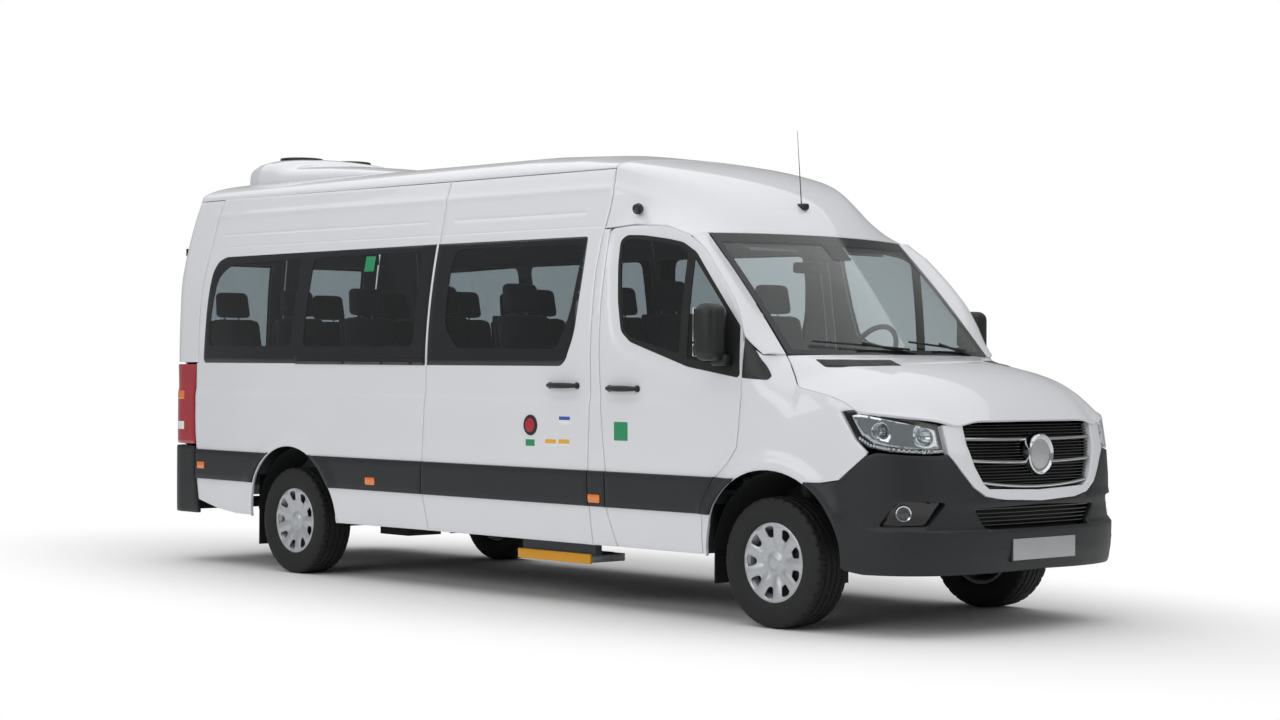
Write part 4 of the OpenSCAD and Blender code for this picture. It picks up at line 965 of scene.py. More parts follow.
def addFrontEnd():
    holes = ([outlined(onSide(fogRecess, s), [22, 40, 30, 22], 14) for s in (1, -1)]
             + [outlined(bothHalves(intakeHalf), [0, 20, 25, 0, 25, 20], 18)])
    addSheet("bumper_skin", noseSurface, outlined(bothHalves(bumperHalf), 0, 20), "shell", [greyPlastic],
             holes, depth=40, lip=4, gap=2, gridStep=24, slotName="dark_plastic", sharp=40,
             rowsAt=[338, 345, 352, 535, 545, 552, 560, 572, 580, 640])
    for s, word in ((1, "left"), (-1, "right")):
        pocket = outlined(onSide(fogRecess, s), 22, 14)
        addSheet(f"fog_pocket_{word}", noseSurface, shifted(pocket, -8), "shell", [pianoBlack], depth=6,
                 lift=-38, slotName="black_plastic", gridStep=20)
        place, out = noseFrame((s * byY(858, 637)[0], 637))
        ring = latheParts([(40, -38), (43, -20), (40, -12), (34, -14), (30, -30)], place, out, 40,
                          closed=True)
        addPiece(f"fog_lamp_ring_{word}", *ring, [chrome], "shell")
        lens = discParts(place - out * 24, out, 31, 8, 4)
        addPiece(f"fog_lamp_lens_{word}", *lens, [lensClear], "shell", slotName="lamp")
        bowl = latheParts([(0, -52), (12, -50), (24, -42), (30, -32), (31, -34), (20, -56), (0, -58)],
                          place, out, 36, closed=False)
        addPiece(f"fog_lamp_bowl_{word}", *bowl, [chrome], "shell")
        addHeadlamp(word, s)
        for k, (y, z) in enumerate(((957, 581), (771, 464), (309, 449))):
            place, out = noseFrame((s * byY(y, z)[0], z))
            addPiece(f"park_sensor_{word}_{k + 1}", *discParts(place + out * 1.5, out, 11, 8, 0.8),
                     [blackPlastic], "shell")
    addSheet("lower_intake_back", noseSurface,
             outlined(bothHalves([(0, 545), byY(432, 547), byY(508, 660), (0, 676)]), 0, 20), "shell",
             [dipCoat], depth=6, lift=-70, gridStep=30)
    for k, z in enumerate((572, 592, 612, 632, 652)):
        half = float(np.interp(z, [555, 655], [425, 500])) + 8
        band = outlined(bothHalves([(0, z - 3), byY(half, z - 3), byY(half, z + 3), (0, z + 3)]), 0, 24)
        addSheet(f"intake_fin_{k + 1}", noseSurface, band, "shell", [pianoBlack], depth=26, lift=-16, lip=1,
                 gridStep=30)
    tow, towOut = noseFrame((-byY(528, 400)[0], 400))
    addPiece("tow_cover", *discParts(tow + towOut * 1.2, towOut, 31, 6, 0.5), [greyPlastic], "shell")
    addPiece("number_plate_front", *blockParts((1028, -260, 387), (1040, 260, 497), 2), [plateAluminium],
             "shell")
    addPiece("number_plate_holder", *blockParts((1010, -268, 379), (1034, 268, 503), 5), [blackPlastic],
             "shell")


def addHeadlamp(word, s):
    outline = outlined(onSide(lampOutline, s), [8, 30, 30, 25, 5, 20, 20, 20, 20, 20, 20], 16)
    addSheet(f"headlamp_lens_{word}", noseSurface, outline, "shell", [lensClear], depth=3.5, lip=2.5,
             lift=-1, gridStep=28, slotName="lamp", gap=2)
    addSheet(f"headlamp_housing_{word}", noseSurface, shifted(outline, 3), "shell", [chrome], depth=5,
             lift=-74, gridStep=40)
    inner = outlined(onSide([byX(520, 1130), byX(600, 1136), byY(812, 1098), byY(675, 1066), byY(672, 1010),
                             byY(668, 968), byY(716, 966), byY(834, 968), byX(730, 978), byX(660, 990),
                             byX(590, 1030)], s), 14, 14)
    places = [(s * byY(742, 1028)[0], 1028, 46), (s * byX(712, 1050)[0], 1052, 38)]
    rings = [np.array([(u + r * math.cos(a), z + r * math.sin(a)) for a in np.linspace(0, 2 * math.pi,
                                                                                       29)[:-1]]) for u, z,
             r in places]
    addSheet(f"headlamp_bezel_{word}", noseSurface, inner, "shell", [chrome], rings, depth=6, lift=-34,
             lip=3, gridStep=24)
    for k, (u, z, r) in enumerate(places):
        place, out = noseFrame((u, z))
        forward = (out + np.array([1.2, 0, 0])) / np.linalg.norm(out + np.array([1.2, 0, 0]))
        bowl = latheParts([(0, -70), (r * 0.4, -66), (r * 0.8, -50), (r, -34), (r + 3, -36), (r * 0.8, -56),
                           (0, -74)], place, forward, 48, closed=False)
        addPiece(f"headlamp_bowl_{word}_{k + 1}", *bowl, [chrome], "shell")
        bulb = discParts(place - forward * 46, forward, r * 0.45, 14, r * 0.25)
        addPiece(f"headlamp_projector_{word}_{k + 1}", *bulb, [lensClear], "shell")
    path = [byX(585, 1012), byX(655, 974), byX(730, 958), byY(834, 949), byY(700, 947), byY(662, 950)]
    for k in range(22):
        share = (k + 0.5) / 22 * (len(path) - 1)
        i = int(share)
        u = path[i][0] + (path[min(i + 1, 5)][0] - path[i][0]) * (share - i)
        z = path[i][1] + (path[min(i + 1, 5)][1] - path[i][1]) * (share - i)
        place, out = noseFrame((s * u, z + 5))
        addPiece(f"day_light_{word}_{k + 1}", *discParts(place - out * 14, out, 8, 5, 2.5, steps=16),
                 [chrome], "shell")


def addGrille():
    inner = [byY(y, z) for y, z in openingHalf]
    ring = ([byY(655, 1082)] + upright + [(-u, z) for u, z in upright[::-1][1:]]
            + [(-byY(655, 1082)[0], 1082)] + [(-byY(530, 1088)[0], 1088)]
            + [(-u, z) for u, z in inner[::-1][1:]] + inner[1:-1] + [(byY(530, 1088)[0], 1088)])
    addSheet("grille_surround", noseSurface, outlined(ring, 0, 16), "shell", [enamel], depth=46, lip=4,
             lift=5, gap=1, gridStep=20, slotName="paint", sharp=40)
    hole = outlined(bothHalves([(0, 742)] + [(u + 4, z) for u, z in inner[1:]] + [(0, 1094)]), 0, 20)
    addSheet("grille_back", noseSurface, hole, "shell", [dipCoat], depth=6, lift=-66, gridStep=40)
    reach = np.array([(755, 395), (785, 438), (872, 488), (980, 525), (1066, 531), (1090, 516)], float)
    for k, z in enumerate(np.arange(764, 1086, 16.0)):
        half = float(np.interp(z, reach[:, 0], reach[:, 1]))
        band = outlined(bothHalves([(0, z - 2.5), byY(half, z - 2.5), byY(half, z + 2.5), (0, z + 2.5)]), 0,
                        30)
        addSheet(f"grille_fin_{k + 1}", noseSurface, band, "shell", [pianoBlack], depth=30, lift=-20, lip=1,
                 gridStep=40, slotName="black_plastic")
    for k, (ends, dip) in enumerate(((1012, 6), (900, 12), (788, 26))):
        half = float(np.interp(ends, reach[:, 0], reach[:, 1])) - 4
        ys = np.linspace(0, half, 15)
        drop = ends - dip * (1 - (ys / half) ** 2)
        lower = [byY(y, z - 10) for y, z in zip(ys, drop)]
        upper = [byY(y, z + 10) for y, z in zip(ys, drop)]
        loop = [(-u, z) for u, z in lower[::-1]] + lower[1:] + upper[::-1] + [(-u, z) for u, z in upper[1:]]
        addSheet(f"grille_bar_{k + 1}", noseSurface, outlined(loop, 0, 16), "shell", [pianoBlack], depth=36,
                 lift=-6, lip=4, gridStep=20, slotName="black_plastic")
        thin = ([(u, z + 4) for u, z in [(-u, z) for u, z in lower[::-1]] + lower[1:]]
                + [(u, z - 3) for u, z in upper[::-1] + [(-u, z) for u, z in upper[1:]]])
        addSheet(f"grille_chrome_{k + 1}", noseSurface, outlined(thin, 0, 16), "shell", [chrome], depth=8,
                 lift=-2, lip=3, gridStep=20, slotName="lamp")
    middle = np.array([1004.0, 0, 928])
    dish = latheParts([(0, 6), (40, 5), (78, 0), (88, 2), (92, 8), (98, 13), (105, 8), (107, -4),
                       (107, -34), (0, -34)], middle, (1, 0, 0), 72, closed=False)
    addPiece("blank_disc", *dish, [chrome], "shell", slotName="lamp")
    floorDisc = latheParts([(0, 7.2), (40, 6.2), (76, 1.4), (76, -2), (0, -2)], middle, (1, 0, 0), 60,
                           closed=False)
    addPiece("blank_disc_face", *floorDisc, [silverLacquer], "shell")


# ---- black trim along the sides ----

def trimBand(name, side, low, high, body):
    zs = np.linspace(trimLow, trimHigh, 12)
    lowX = np.array([low(z) for z in zs])
    highX = np.array([high(z) for z in zs])
    loop = list(zip(highX, zs)) + list(zip(lowX[::-1], zs[::-1]))
    addSheet(name, bodySurface(side), outlined(loop, 0, 22), body, [greyPlastic], depth=16, lip=6, lift=13,
             gridStep=40, slotName="dark_plastic", gap=2.5, sharp=50, rowsAt=[trimLow + 16, trimHigh - 16])


def atDoor(points):
    zs = np.array([p[1] for p in points], float)
    xs = np.array([p[0] for p in points], float)
    order = np.argsort(zs)
    return lambda z: float(np.interp(z, zs[order], xs[order]))


def archEdge(axle, sign, radius):
    return lambda z: axle + sign * math.sqrt(max(0, radius ** 2 - (z - hubHeight - 5) ** 2))


for sideName, side in sideOf.items():
    slideLine, slideRear = atDoor(slideFrontEdge), atDoor(slideBackEdge)
    trimBand(f"trim_rear_{sideName}", side, lambda z: -5494, archEdge(rearAxle, -1, 486), "shell")
    trimBand(f"trim_quarter_{sideName}", side, archEdge(rearAxle, 1, 486), slideRear, "shell")
    trimBand(f"trim_door_{sideName}", side, slideRear, slideLine, "shell")
    trimBand(f"trim_pillar_{sideName}", side, slideLine, atDoor(doorRear), "shell")
    trimBand(f"trim_cab_door_{sideName}", side, atDoor(doorRear), atDoor(doorFront),
             "front_door_" + sideName)
    trimBand(f"trim_wing_{sideName}", side, atDoor(doorFront), lambda z: min(archEdge(0, -1, 480)(z), -226),
             "shell")
addFrontEnd()
addGrille()
print("front end built")


# ---- wheels ----

wheel = {"track": 856, "coverRadius": 219, "windows": 9}


def tyreParts(centre, side):
    edge = [(206, 92), (214, 101), (234, 112), (272, 118), (308, 117), (330, 111), (340, 103)]
    tread = [(343, 96), (343.5, 66), (336, 64), (336, 58), (345, 56), (345.5, 24), (337, 22), (337, 16),
             (346, 14)]
    half = edge + tread
    profile = [(r, -h) for r, h in half] + [(r, h) for r, h in half[::-1]] + [(203, 80), (203, -80)]
    steps = 192
    points, faces = latheParts(profile, (0, 0, 0), (0, side, 0), steps, closed=True)
    grid = points.reshape(len(profile), steps, 3)
    radius = np.hypot(grid[:, :, 0], grid[:, :, 2])
    for row, (r, h) in enumerate(profile):
        period, width, depth = (6, 1, 8) if abs(h) > 60 and 338 < r < 345 else (12, 1, 4)
        if r > 338 and 10 < abs(h) < 104:
            cut = (np.arange(steps) + int(abs(h)) // 12) % period < width
            share = (radius[row, cut] - depth) / radius[row, cut]
            grid[row, cut] *= share[:, None] * np.array([1, 0, 1]) + np.array([0, 1, 0])
    return points + np.array(centre), faces


def coverSurface(centre, side):
    heights = np.array([(0, 93), (34, 92), (46, 84), (60, 78), (100, 86), (150, 94), (190, 99), (205, 101),
                        (214, 96), (222, 88)], float)

    def surface(flat):
        r = np.hypot(flat[:, 0], flat[:, 1])
        phi = np.arctan2(flat[:, 1], flat[:, 0])
        ridge = 5 * np.cos(wheel["windows"] * phi) * ramp(58, 120, r) * (1 - ramp(185, 205, r))
        h = np.interp(r, heights[:, 0], heights[:, 1]) + ridge
        return np.column_stack([centre[0] + flat[:, 0], centre[1] + side * h, centre[2] + flat[:, 1]])
    return surface


def addWheel(word, x, side, body):
    centre = np.array([x, side * wheel["track"], hubHeight])
    addPiece(f"tyre_{word}_rubber", *tyreParts(centre, side), [tyreRubber], body, slotName="tyre", sharp=28)
    barrel = [(207, -92), (209, -97), (204, -98), (190, -88), (183, -30), (176, 30), (180, 60), (196, 90),
              (206, 99), (210, 97), (207, 91), (198, 84), (186, 56), (182, 20), (188, -30), (195, -84)]
    dish = [(196, 52), (150, 44), (112, 62), (70, 66), (34, 66), (34, 58), (70, 58), (112, 54), (150, 36),
            (192, 42)]
    hub = [(0, -70), (58, -70), (60, -30), (60, 58), (0, 58)]
    parts = [(*latheParts(barrel, centre, (0, side, 0), 96), 0),
             (*latheParts(dish, centre, (0, side, 0), 72), 1),
             (*latheParts(hub, centre, (0, side, 0), 40, closed=False), 1)]
    addParts(f"rim_{word}_steel", parts, [silverLacquer, dipCoat], body)
    windows = []
    for k in range(wheel["windows"]):
        mid = 2 * math.pi * (k + 0.5) / wheel["windows"]
        loop = [(r * math.cos(mid + a), r * math.sin(mid + a)) for r, a in
                ((136, -0.115), (188, -0.175), (192, 0), (188, 0.175), (136, 0.115), (131, 0))]
        windows.append(outlined(loop, [14, 14, 0, 14, 14, 0], 9))
    circle = np.array([(wheel["coverRadius"] * math.cos(a), wheel["coverRadius"] * math.sin(a))
                       for a in np.linspace(0, 2 * math.pi, 121)[:-1]])
    addSheet(f"wheel_cover_{word}", coverSurface(centre, side), circle, body, [silverLacquer], windows,
             depth=7, lip=3, gridStep=9, slotName="wheel_cover", sharp=24, middle=(x, 0, hubHeight))
    cap = discParts(centre + np.array([0, side * 93.5, 0]), (0, side, 0), 33, 8, 1.5, 2, 48)
    addPiece(f"wheel_cap_{word}", *cap, [silverLacquer], body)


for sideName, side in sideOf.items():
    addWheel("front_" + sideName, 0.0, side, "wheel_front_" + sideName)
    addWheel("rear_" + sideName, rearAxle, side, "wheel_rear_" + sideName)
print("wheels built")


# ---- rear end ----

rearDoor = {"low": 424, "high": 2330, "outer": 815, "inner": 4, "windowLow": 1480, "windowHigh": 2085}


def rearLoop(y0, y1, z0, z1, step=60):
    zs = np.linspace(z0, z1, max(3, int((z1 - z0) // step)))
    return fromRearEdge(y1, list(zs)) + fromRearEdge(y0, list(zs[::-1]))


def addRear(name):
    side = sideOf[name]
    surface = bodySurface(side)
    body = "rear_door_" + name
    door = outlined(rearLoop(rearDoor["inner"], rearDoor["outer"], rearDoor["low"], rearDoor["high"]), 0, 24)
    band = outlined(rearLoop(90, 735, rearDoor["windowLow"] - 25, rearDoor["windowHigh"] + 25), 0, 24)
    pane = outlined(rearLoop(130, 690, rearDoor["windowLow"] + 20, rearDoor["windowHigh"] - 20), 0, 24)
    addSheet(f"rear_door_skin_{name}", surface, door, body, [enamel], [shifted(band, 30)], gap=1.5,
             backMaterial=liningFelt, slotName="paint", **paintEdge)
    addSheet(f"rear_door_glass_{name}", surface, band, body, [frit, sideGlass], panes=[pane], depth=6,
             lip=1.5, lift=1.5, slotName="clear_glass", gridStep=45)
    card = outlined(rearLoop(75, 750, 500, rearDoor["windowLow"] - 70), 0, 24)
    addSheet(f"rear_door_card_{name}", surface, card, body, [blackPlastic], depth=9, lip=4, lift=-19,
             gridStep=60)
    header = outlined(rearLoop(0, 825, rearDoor["high"] + 8, 2502), 0, 24)
    addSheet(f"rear_header_{name}", surface, header, "shell", [enamel], gap=0.5, backMaterial=liningFelt,
             slotName="paint", **paintEdge)
    lampFront = [(-5508, 812), (-5516, 900), (-5522, 1100), (-5516, 1300), (-5508, 1368)]
    lampLoop = lampFront + fromRearEdge(826, [1368, 1200, 1000, 812])
    addSheet(f"tail_lamp_{name}", surface, outlined(lampLoop, 8, 18), "shell", [redLens], depth=10, lip=5,
             lift=7, gridStep=24, slotName="red_lamp", gap=3)
    for k, z in enumerate((1150, 940)):
        strip = [(-5655, z - 28)] + [(-5655, z + 28)] + fromRearEdge(840, [z + 28, z - 28])
        addSheet(f"tail_lamp_window_{name}_{k + 1}", surface, outlined(strip, 8, 14), "shell",
                 [amberLens if k == 0 else whiteVinyl], depth=5, lip=2, lift=8.5, gridStep=24)
    corner = ([(-5509, 800), (-5510, 626), (-5474, 433), (-5452, 340)] + fromRearEdge(0, [335])
              + fromRearEdge(0, [414]) + fromRearEdge(821, [414, 600, 800]))
    addSheet(f"rear_bumper_{name}", surface, outlined(corner, [10, 0, 0, 20, 0, 0, 0, 0, 10], 22), "shell",
             [greyPlastic], depth=24, lip=6, lift=12, gridStep=34, slotName="dark_plastic", gap=1, sharp=45)
    for k, z in enumerate((715, 1425, 2150)):
        y = 818.0
        place = surface(np.array([[float(cornerU(np.array([y]), np.array([float(z)]))[0]), z]]))[0]
        leaf = blockParts(place - np.array([9, 42, 26]), place + np.array([6, 4, 26]), 4)
        pin = tubeParts([place + np.array([-12, side * 6, -32]), place + np.array([-12, side * 6, 32])], 8,
                        14)
        addParts(f"rear_hinge_{name}_{k + 1}", [(*leaf, 0), (*pin, 0)], [blackPlastic], body)


def flatBack(z):
    return float(bodyBackAt(np.array([float(z)]))[0])


for sideName in ("right", "left"):
    addRear(sideName)
x0 = flatBack(1000)
addParts("rear_door_handle", [(*blockParts((x0 - 30, 40, 985), (x0 - 16, 190, 1020), 6), 0),
                              (*blockParts((x0 - 20, 45, 990), (x0 + 4, 70, 1015), 4), 0),
                              (*blockParts((x0 - 20, 160, 990), (x0 + 4, 185, 1015), 4), 0)],
         [blackPlastic], "rear_door_left")
addPiece("number_plate_rear", *blockParts((x0 - 12, 260, 640), (x0 - 3, 780, 750), 2), [plateAluminium],
         "rear_door_left")
addPiece("plate_lamp_bar", *blockParts((x0 - 26, 300, 762), (x0 + 2, 740, 792), 8), [blackPlastic],
         "rear_door_left")
addParts("rear_bumper_step",
         [(*blockParts((cadLow.x / mm - frontHub.x / mm + 6, -300, 372), (x0 + 20, 300, 400), 8), 0)],
         [greyPlastic], "shell")


# ---- roof pod, lamps and fittings ----

pod = {"rear": -5600, "front": -4060}


def podGrid():
    xs = np.concatenate([np.linspace(pod["rear"], -5150, 26), np.linspace(-5130, pod["front"], 40)])
    t = np.linspace(-1, 1, 61)
    heights = np.array([(-5600, 0), (-5590, 40), (-5560, 84), (-5500, 122), (-5400, 150), (-5300, 158),
                        (-5180, 152), (-5110, 138), (-5070, 112), (-5000, 98), (-4700, 78), (-4400, 50),
                        (-4150, 18), (-4060, 0)])
    widths = np.array([(-5600, 380), (-5560, 470), (-5480, 545), (-5300, 590), (-5100, 580), (-4700, 520),
                       (-4300, 430), (-4060, 340)])
    grid = []
    for x in xs:
        h = np.interp(x, heights[:, 0], heights[:, 1])
        half = np.interp(x, widths[:, 0], widths[:, 1])
        crown = np.interp(x, crownLine[:, 0], crownLine[:, 1])
        y = half * np.sin(t * math.pi / 2)
        base = crown - 48 * (np.abs(y) / 600) ** 2.2
        rise = (1 - np.abs(t) ** 5) ** 0.6
        grid.append(np.column_stack([np.full(len(t), x), y, base - 14 + (h + 14) * rise]))
    return np.array(grid)


addGrid("roof_cooler_shell", podGrid(), "shell", [enamel], depth=6, slotName="paint", sharp=50)
for k, y in enumerate((-210, 210)):
    well = latheParts([(150, 0), (146, 5), (120, 3), (118, -20), (150, -20)], (-5330, y, 2816), (0, 0, 1),
                      60)
    addPiece(f"cooler_fan_ring_{k + 1}", *well, [blackPlastic], "shell")
    blades = []
    for b in range(7):
        a = b * 2 * math.pi / 7
        turned = [(-5330 + r * math.cos(a + d), y + r * math.sin(a + d), 2800 + h) for r, d, h in
                  ((22, -0.3, 0), (116, -0.25, 2), (116, 0.2, 14), (22, 0.3, 9))]
        lower = [(p[0], p[1], p[2] - 2) for p in turned]
        blades.append((turned + lower, [(0, 1, 2, 3), (7, 6, 5, 4), (0, 4, 5, 1), (1, 5, 6, 2), (2, 6, 7, 3),
                                        (3, 7, 4, 0)], 0))
    blades.append((*discParts((-5330, y, 2812), (0, 0, 1), 26, 20, 2), 0))
    addParts(f"cooler_fan_{k + 1}", blades, [blackPlastic], "shell")
rod = [(-697 - 4 - 36 * k, 0, 2302 + 426 * k) for k in np.linspace(0, 1, 12)]
addParts("roof_antenna", [(*tubeParts(rod, list(np.linspace(3.2, 1.2, 12)), 10), 0),
                          (*blockParts((-745, -22, 2270), (-655, 22, 2308), 12, 4), 0)], [blackPlastic],
         "shell")


def onFlank(x, z, side, out=0.0):
    y = float(flankY(np.array([float(x)]), np.array([float(z)]))[0])
    return np.array([x, side * (y + out), z])


def label(name, x, z, width, height, material, body="shell", lift=0.6, side=-1, radius=4, depth=1.0):
    loop = outlined([(x - width / 2, z - height / 2), (x + width / 2, z - height / 2),
                     (x + width / 2, z + height / 2), (x - width / 2, z + height / 2)], radius, 20)
    return addSheet(name, bodySurface(side), loop, body, [material], depth=depth, lip=min(0.5, depth / 3),
                    lift=lift, gridStep=25)


def doorHandle(name, x0, x1, z, body, side):
    a, b = onFlank(x0, z, side), onFlank(x1, z, side)
    n = 24
    path = [a + (b - a) * k / n + np.array([0, side * (10 + 30 * math.sin(math.pi * k / n) ** 0.45), 0])
            for k in range(n + 1)]
    radii = [9 + 8 * math.sin(math.pi * k / n) ** 0.5 for k in range(n + 1)]
    bar = tubeParts(path, radii, 16)
    feet = [(*discParts(onFlank(x, z, side, 9), (0, side, 0), 19, 14, 3), 0) for x in (x0 + 10, x1 - 12)]
    addParts(name, [(*bar, 0)] + feet, [blackPlastic], body, slotName="black_plastic")
    cup = [((x0 + x1) / 2 + 92 * math.cos(q), z - 2 + 40 * math.sin(q)) for q in np.linspace(0, 2 * math.pi,
                                                                                             49)[:-1]]
    cupMid = (x0 + x1) / 2

    def dish(flat):
        base = bodySurface(side)(flat)
        r = np.hypot((flat[:, 0] - cupMid) / 92, (flat[:, 1] - z + 2) / 40)
        base[:, 1] -= side * 0.6 * (1 - np.clip(r, 0, 1) ** 2)
        return base
    addSheet(name + "_cup", dish, np.array(cup), body, [enamel], depth=1.4, lip=0.4, lift=1.0, gridStep=8)


for sideName, side in sideOf.items():
    doorBody = "front_door_" + sideName
    doorHandle(f"cab_handle_{sideName}", -1231, -982, 1246, doorBody, side)
    label(f"marker_cab_{sideName}", -1342, 625, 96, 46, amberLens, lift=17, side=side, radius=10, depth=6)
    label(f"marker_middle_{sideName}", -3435, 640, 96, 46, amberLens, lift=17, side=side, radius=10, depth=6)
    label(f"marker_rear_{sideName}", -5410, 672, 96, 46, amberLens, lift=17, side=side, radius=10, depth=6)
    y = float(flankY(np.array([-360.0]), np.array([1400.0]))[0])
    arm = blockParts((-372, min(side * (y - 14), side * (y + 66)), 1376),
                     (-262, max(side * (y - 14), side * (y + 66)), 1440), 16, 4)
    head = blockParts((-404, min(side * (y + 24), side * (y + 178)), 1402),
                      (-262, max(side * (y + 24), side * (y + 178)), 1706), 52, 7)
    addParts(f"mirror_shell_{sideName}", [(*arm, 0), (*head, 0)], [blackPlastic], doorBody,
             slotName="black_plastic")
    glassY = sorted((side * (y + 44), side * (y + 160)))
    addPiece(f"mirror_glass_{sideName}", *blockParts((-408, glassY[0], 1505), (-401, glassY[1], 1684), 3),
             [chrome], doorBody)
    addPiece(f"mirror_glass_low_{sideName}", *blockParts((-408, glassY[0], 1426), (-401, glassY[1], 1494),
                                                         3), [chrome], doorBody)
    eye = onFlank(-1128, 2250, side)
    addParts(f"roof_side_eye_{sideName}",
             [(*discParts(eye + np.array([0, side * 10, 0]), (0.25, side, -0.3), 30, 26, 6), 0),
              (*discParts(eye + np.array([6, side * 20, -6]), (0.25, side, -0.5), 17, 16, 5), 1)],
             [blackPlastic, pianoBlack], "shell")
    rail = outlined([(-4262, 1370), (-2896, 1368), (-2896, 1430), (-4262, 1430)], 10, 30)
    addSheet(f"slide_rail_{sideName}", bodySurface(side), rail, "shell", [pianoBlack], depth=6, lip=3,
             lift=6, gridStep=40)
    addSheet(f"slide_rail_groove_{sideName}", bodySurface(side),
             outlined([(-4240, 1388), (-2900, 1386), (-2900, 1404), (-4240, 1404)], 4, 40), "shell",
             [sealRubber], depth=2, lip=1, lift=7, gridStep=60)
doorHandle("slide_handle_right", -1736, -1483, 1258, "shell", -1)
addParts("emergency_button", [(*discParts(onFlank(-1893, 1026, -1, 5), (0, -1, 0), 60, 8, 2.5), 0),
                              (*discParts(onFlank(-1893, 1026, -1, 8), (0, -1, 0), 41, 6, 3.5), 1)],
         [blackPlastic, redVinyl], "shell")
label("sign_green_low", -1897, 924, 80, 38, greenVinyl)
label("sign_white_top", -1596, 1047, 94, 26, whiteVinyl)
label("sign_blue_top", -1596, 1071, 94, 20, blueVinyl)
label("sign_yellow_one", -1716, 936, 92, 24, yellowVinyl)
label("sign_white_one", -1716, 916, 92, 16, whiteVinyl)
label("sign_yellow_two", -1601, 938, 92, 24, yellowVinyl)
label("sign_white_two", -1601, 918, 92, 16, whiteVinyl)
label("sign_green_door", -1122, 1008, 112, 104, greenVinyl, "front_door_right")
label("sign_green_window", -3545, 2006, 100, 96, greenVinyl, lift=2.2)
addParts("side_step_tread", [(*blockParts((-2110, -905, 246), (-1476, -640, 290), 4), 0),
                             (*blockParts((-2112, -916, 240), (-1474, -896, 297), 6), 1),
                             (*blockParts((-2040, -906, 291), (-1546, -660, 294), 1), 0)],
         [treadAluminium, yellowPowder], "side_step")
print("rear end and fittings built")


# ---- inside: seats, dashboard, steering wheel, linings ----

seat = {"width": 450, "high": 990, "voxel": 6, "pressure": 4.0, "cap": 13, "frames": 20, "pitch": 780,
        "rows": 5}


# Foam under cloth: the cover is blown up against its seams, then frozen
def padForm(name, points, faces, seams, budget):
    scene = bpy.context.scene
    mesh = bpy.data.meshes.new(name)
    mesh.from_pydata((np.asarray(points, float) * mm).tolist(), [], [list(f) for f in faces])
    thing = bpy.data.objects.new(name, mesh)
    scene.collection.objects.link(thing)
    remesh = thing.modifiers.new("remesh", "REMESH")
    remesh.mode, remesh.voxel_size = "VOXEL", seat["voxel"] * mm * 1
    dense = bpy.data.meshes.new_from_object(thing.evaluated_get(bpy.context.evaluated_depsgraph_get()))
    thing.modifiers.clear()
    thing.data = dense
    count = len(dense.vertices)
    rest = np.zeros(count * 3)
    dense.vertices.foreach_get("co", rest)
    rest = rest.reshape(-1, 3)
    placed = rest
    pins = thing.vertex_groups.new(name="seams")
    pins.add(np.nonzero(seams(rest / mm))[0].tolist(), 1.0, "REPLACE")
    cloth = thing.modifiers.new("cover", "CLOTH")
    cloth.settings.quality = 4
    cloth.settings.mass = 0.3
    cloth.settings.tension_stiffness = cloth.settings.compression_stiffness = 12
    cloth.settings.bending_stiffness = 1.5
    cloth.settings.vertex_group_mass = "seams"
    cloth.settings.use_pressure = True
    cloth.settings.uniform_pressure_force = seat["pressure"]
    cloth.settings.effector_weights.gravity = 0
    cloth.point_cache.frame_start, cloth.point_cache.frame_end = 1, seat["frames"]
    for step in range(1, seat["frames"] + 1):
        scene.frame_set(step)
    shaped = thing.evaluated_get(bpy.context.evaluated_depsgraph_get()).to_mesh()
    moved = np.zeros(count * 3)
    shaped.vertices.foreach_get("co", moved)
    moved = moved.reshape(-1, 3)
    way = np.nan_to_num(moved - rest)
    far = np.linalg.norm(way, axis=1)
    placed = rest + way * np.minimum(1, seat["cap"] * mm / np.maximum(far, 1e-9))[:, None]
    thing.modifiers.clear()
    scene.frame_set(1)
    dense.vertices.foreach_set("co", placed.ravel())
    dense.update()
    thin = thing.modifiers.new("thin", "DECIMATE")
    dense.calc_loop_triangles()
    thin.ratio = min(1, budget / max(1, len(dense.loop_triangles)))
    final = bpy.data.meshes.new_from_object(thing.evaluated_get(bpy.context.evaluated_depsgraph_get()))
    result = np.zeros(len(final.vertices) * 3)
    final.vertices.foreach_get("co", result)
    faces = [tuple(p.vertices) for p in final.polygons]
    bpy.data.objects.remove(thing)
    return result.reshape(-1, 3) / mm, faces


def cushionSeams(p):
    side = (np.abs(np.abs(p[:, 1]) - 128) < 4) & (p[:, 2] > 70)
    return (p[:, 2] < 14) | side | ((np.abs(p[:, 0] - 130) < 4) & (p[:, 2] > 70) & (np.abs(p[:, 1]) < 128))


def backSeams(p):
    front = p[:, 0] > -0.164 * (p[:, 2] - 112) - 240
    rib = np.abs((p[:, 2] - 150) % 95 - 48) < 4
    sides = np.abs(np.abs(p[:, 1]) - 128) < 4
    middle = np.abs(p[:, 1]) < 128
    return (p[:, 2] < 124) | (front & sides) | (front & rib & middle)


def leanBlock(low, high, bevel, lean, tuck=0.0):
    points, faces = blockParts(low, high, bevel, 5)
    share = (points[:, 2] - low[2]) / (high[2] - low[2])
    points[:, 0] -= lean * share
    points[:, 1] *= 1 - tuck * share ** 3
    return points, faces


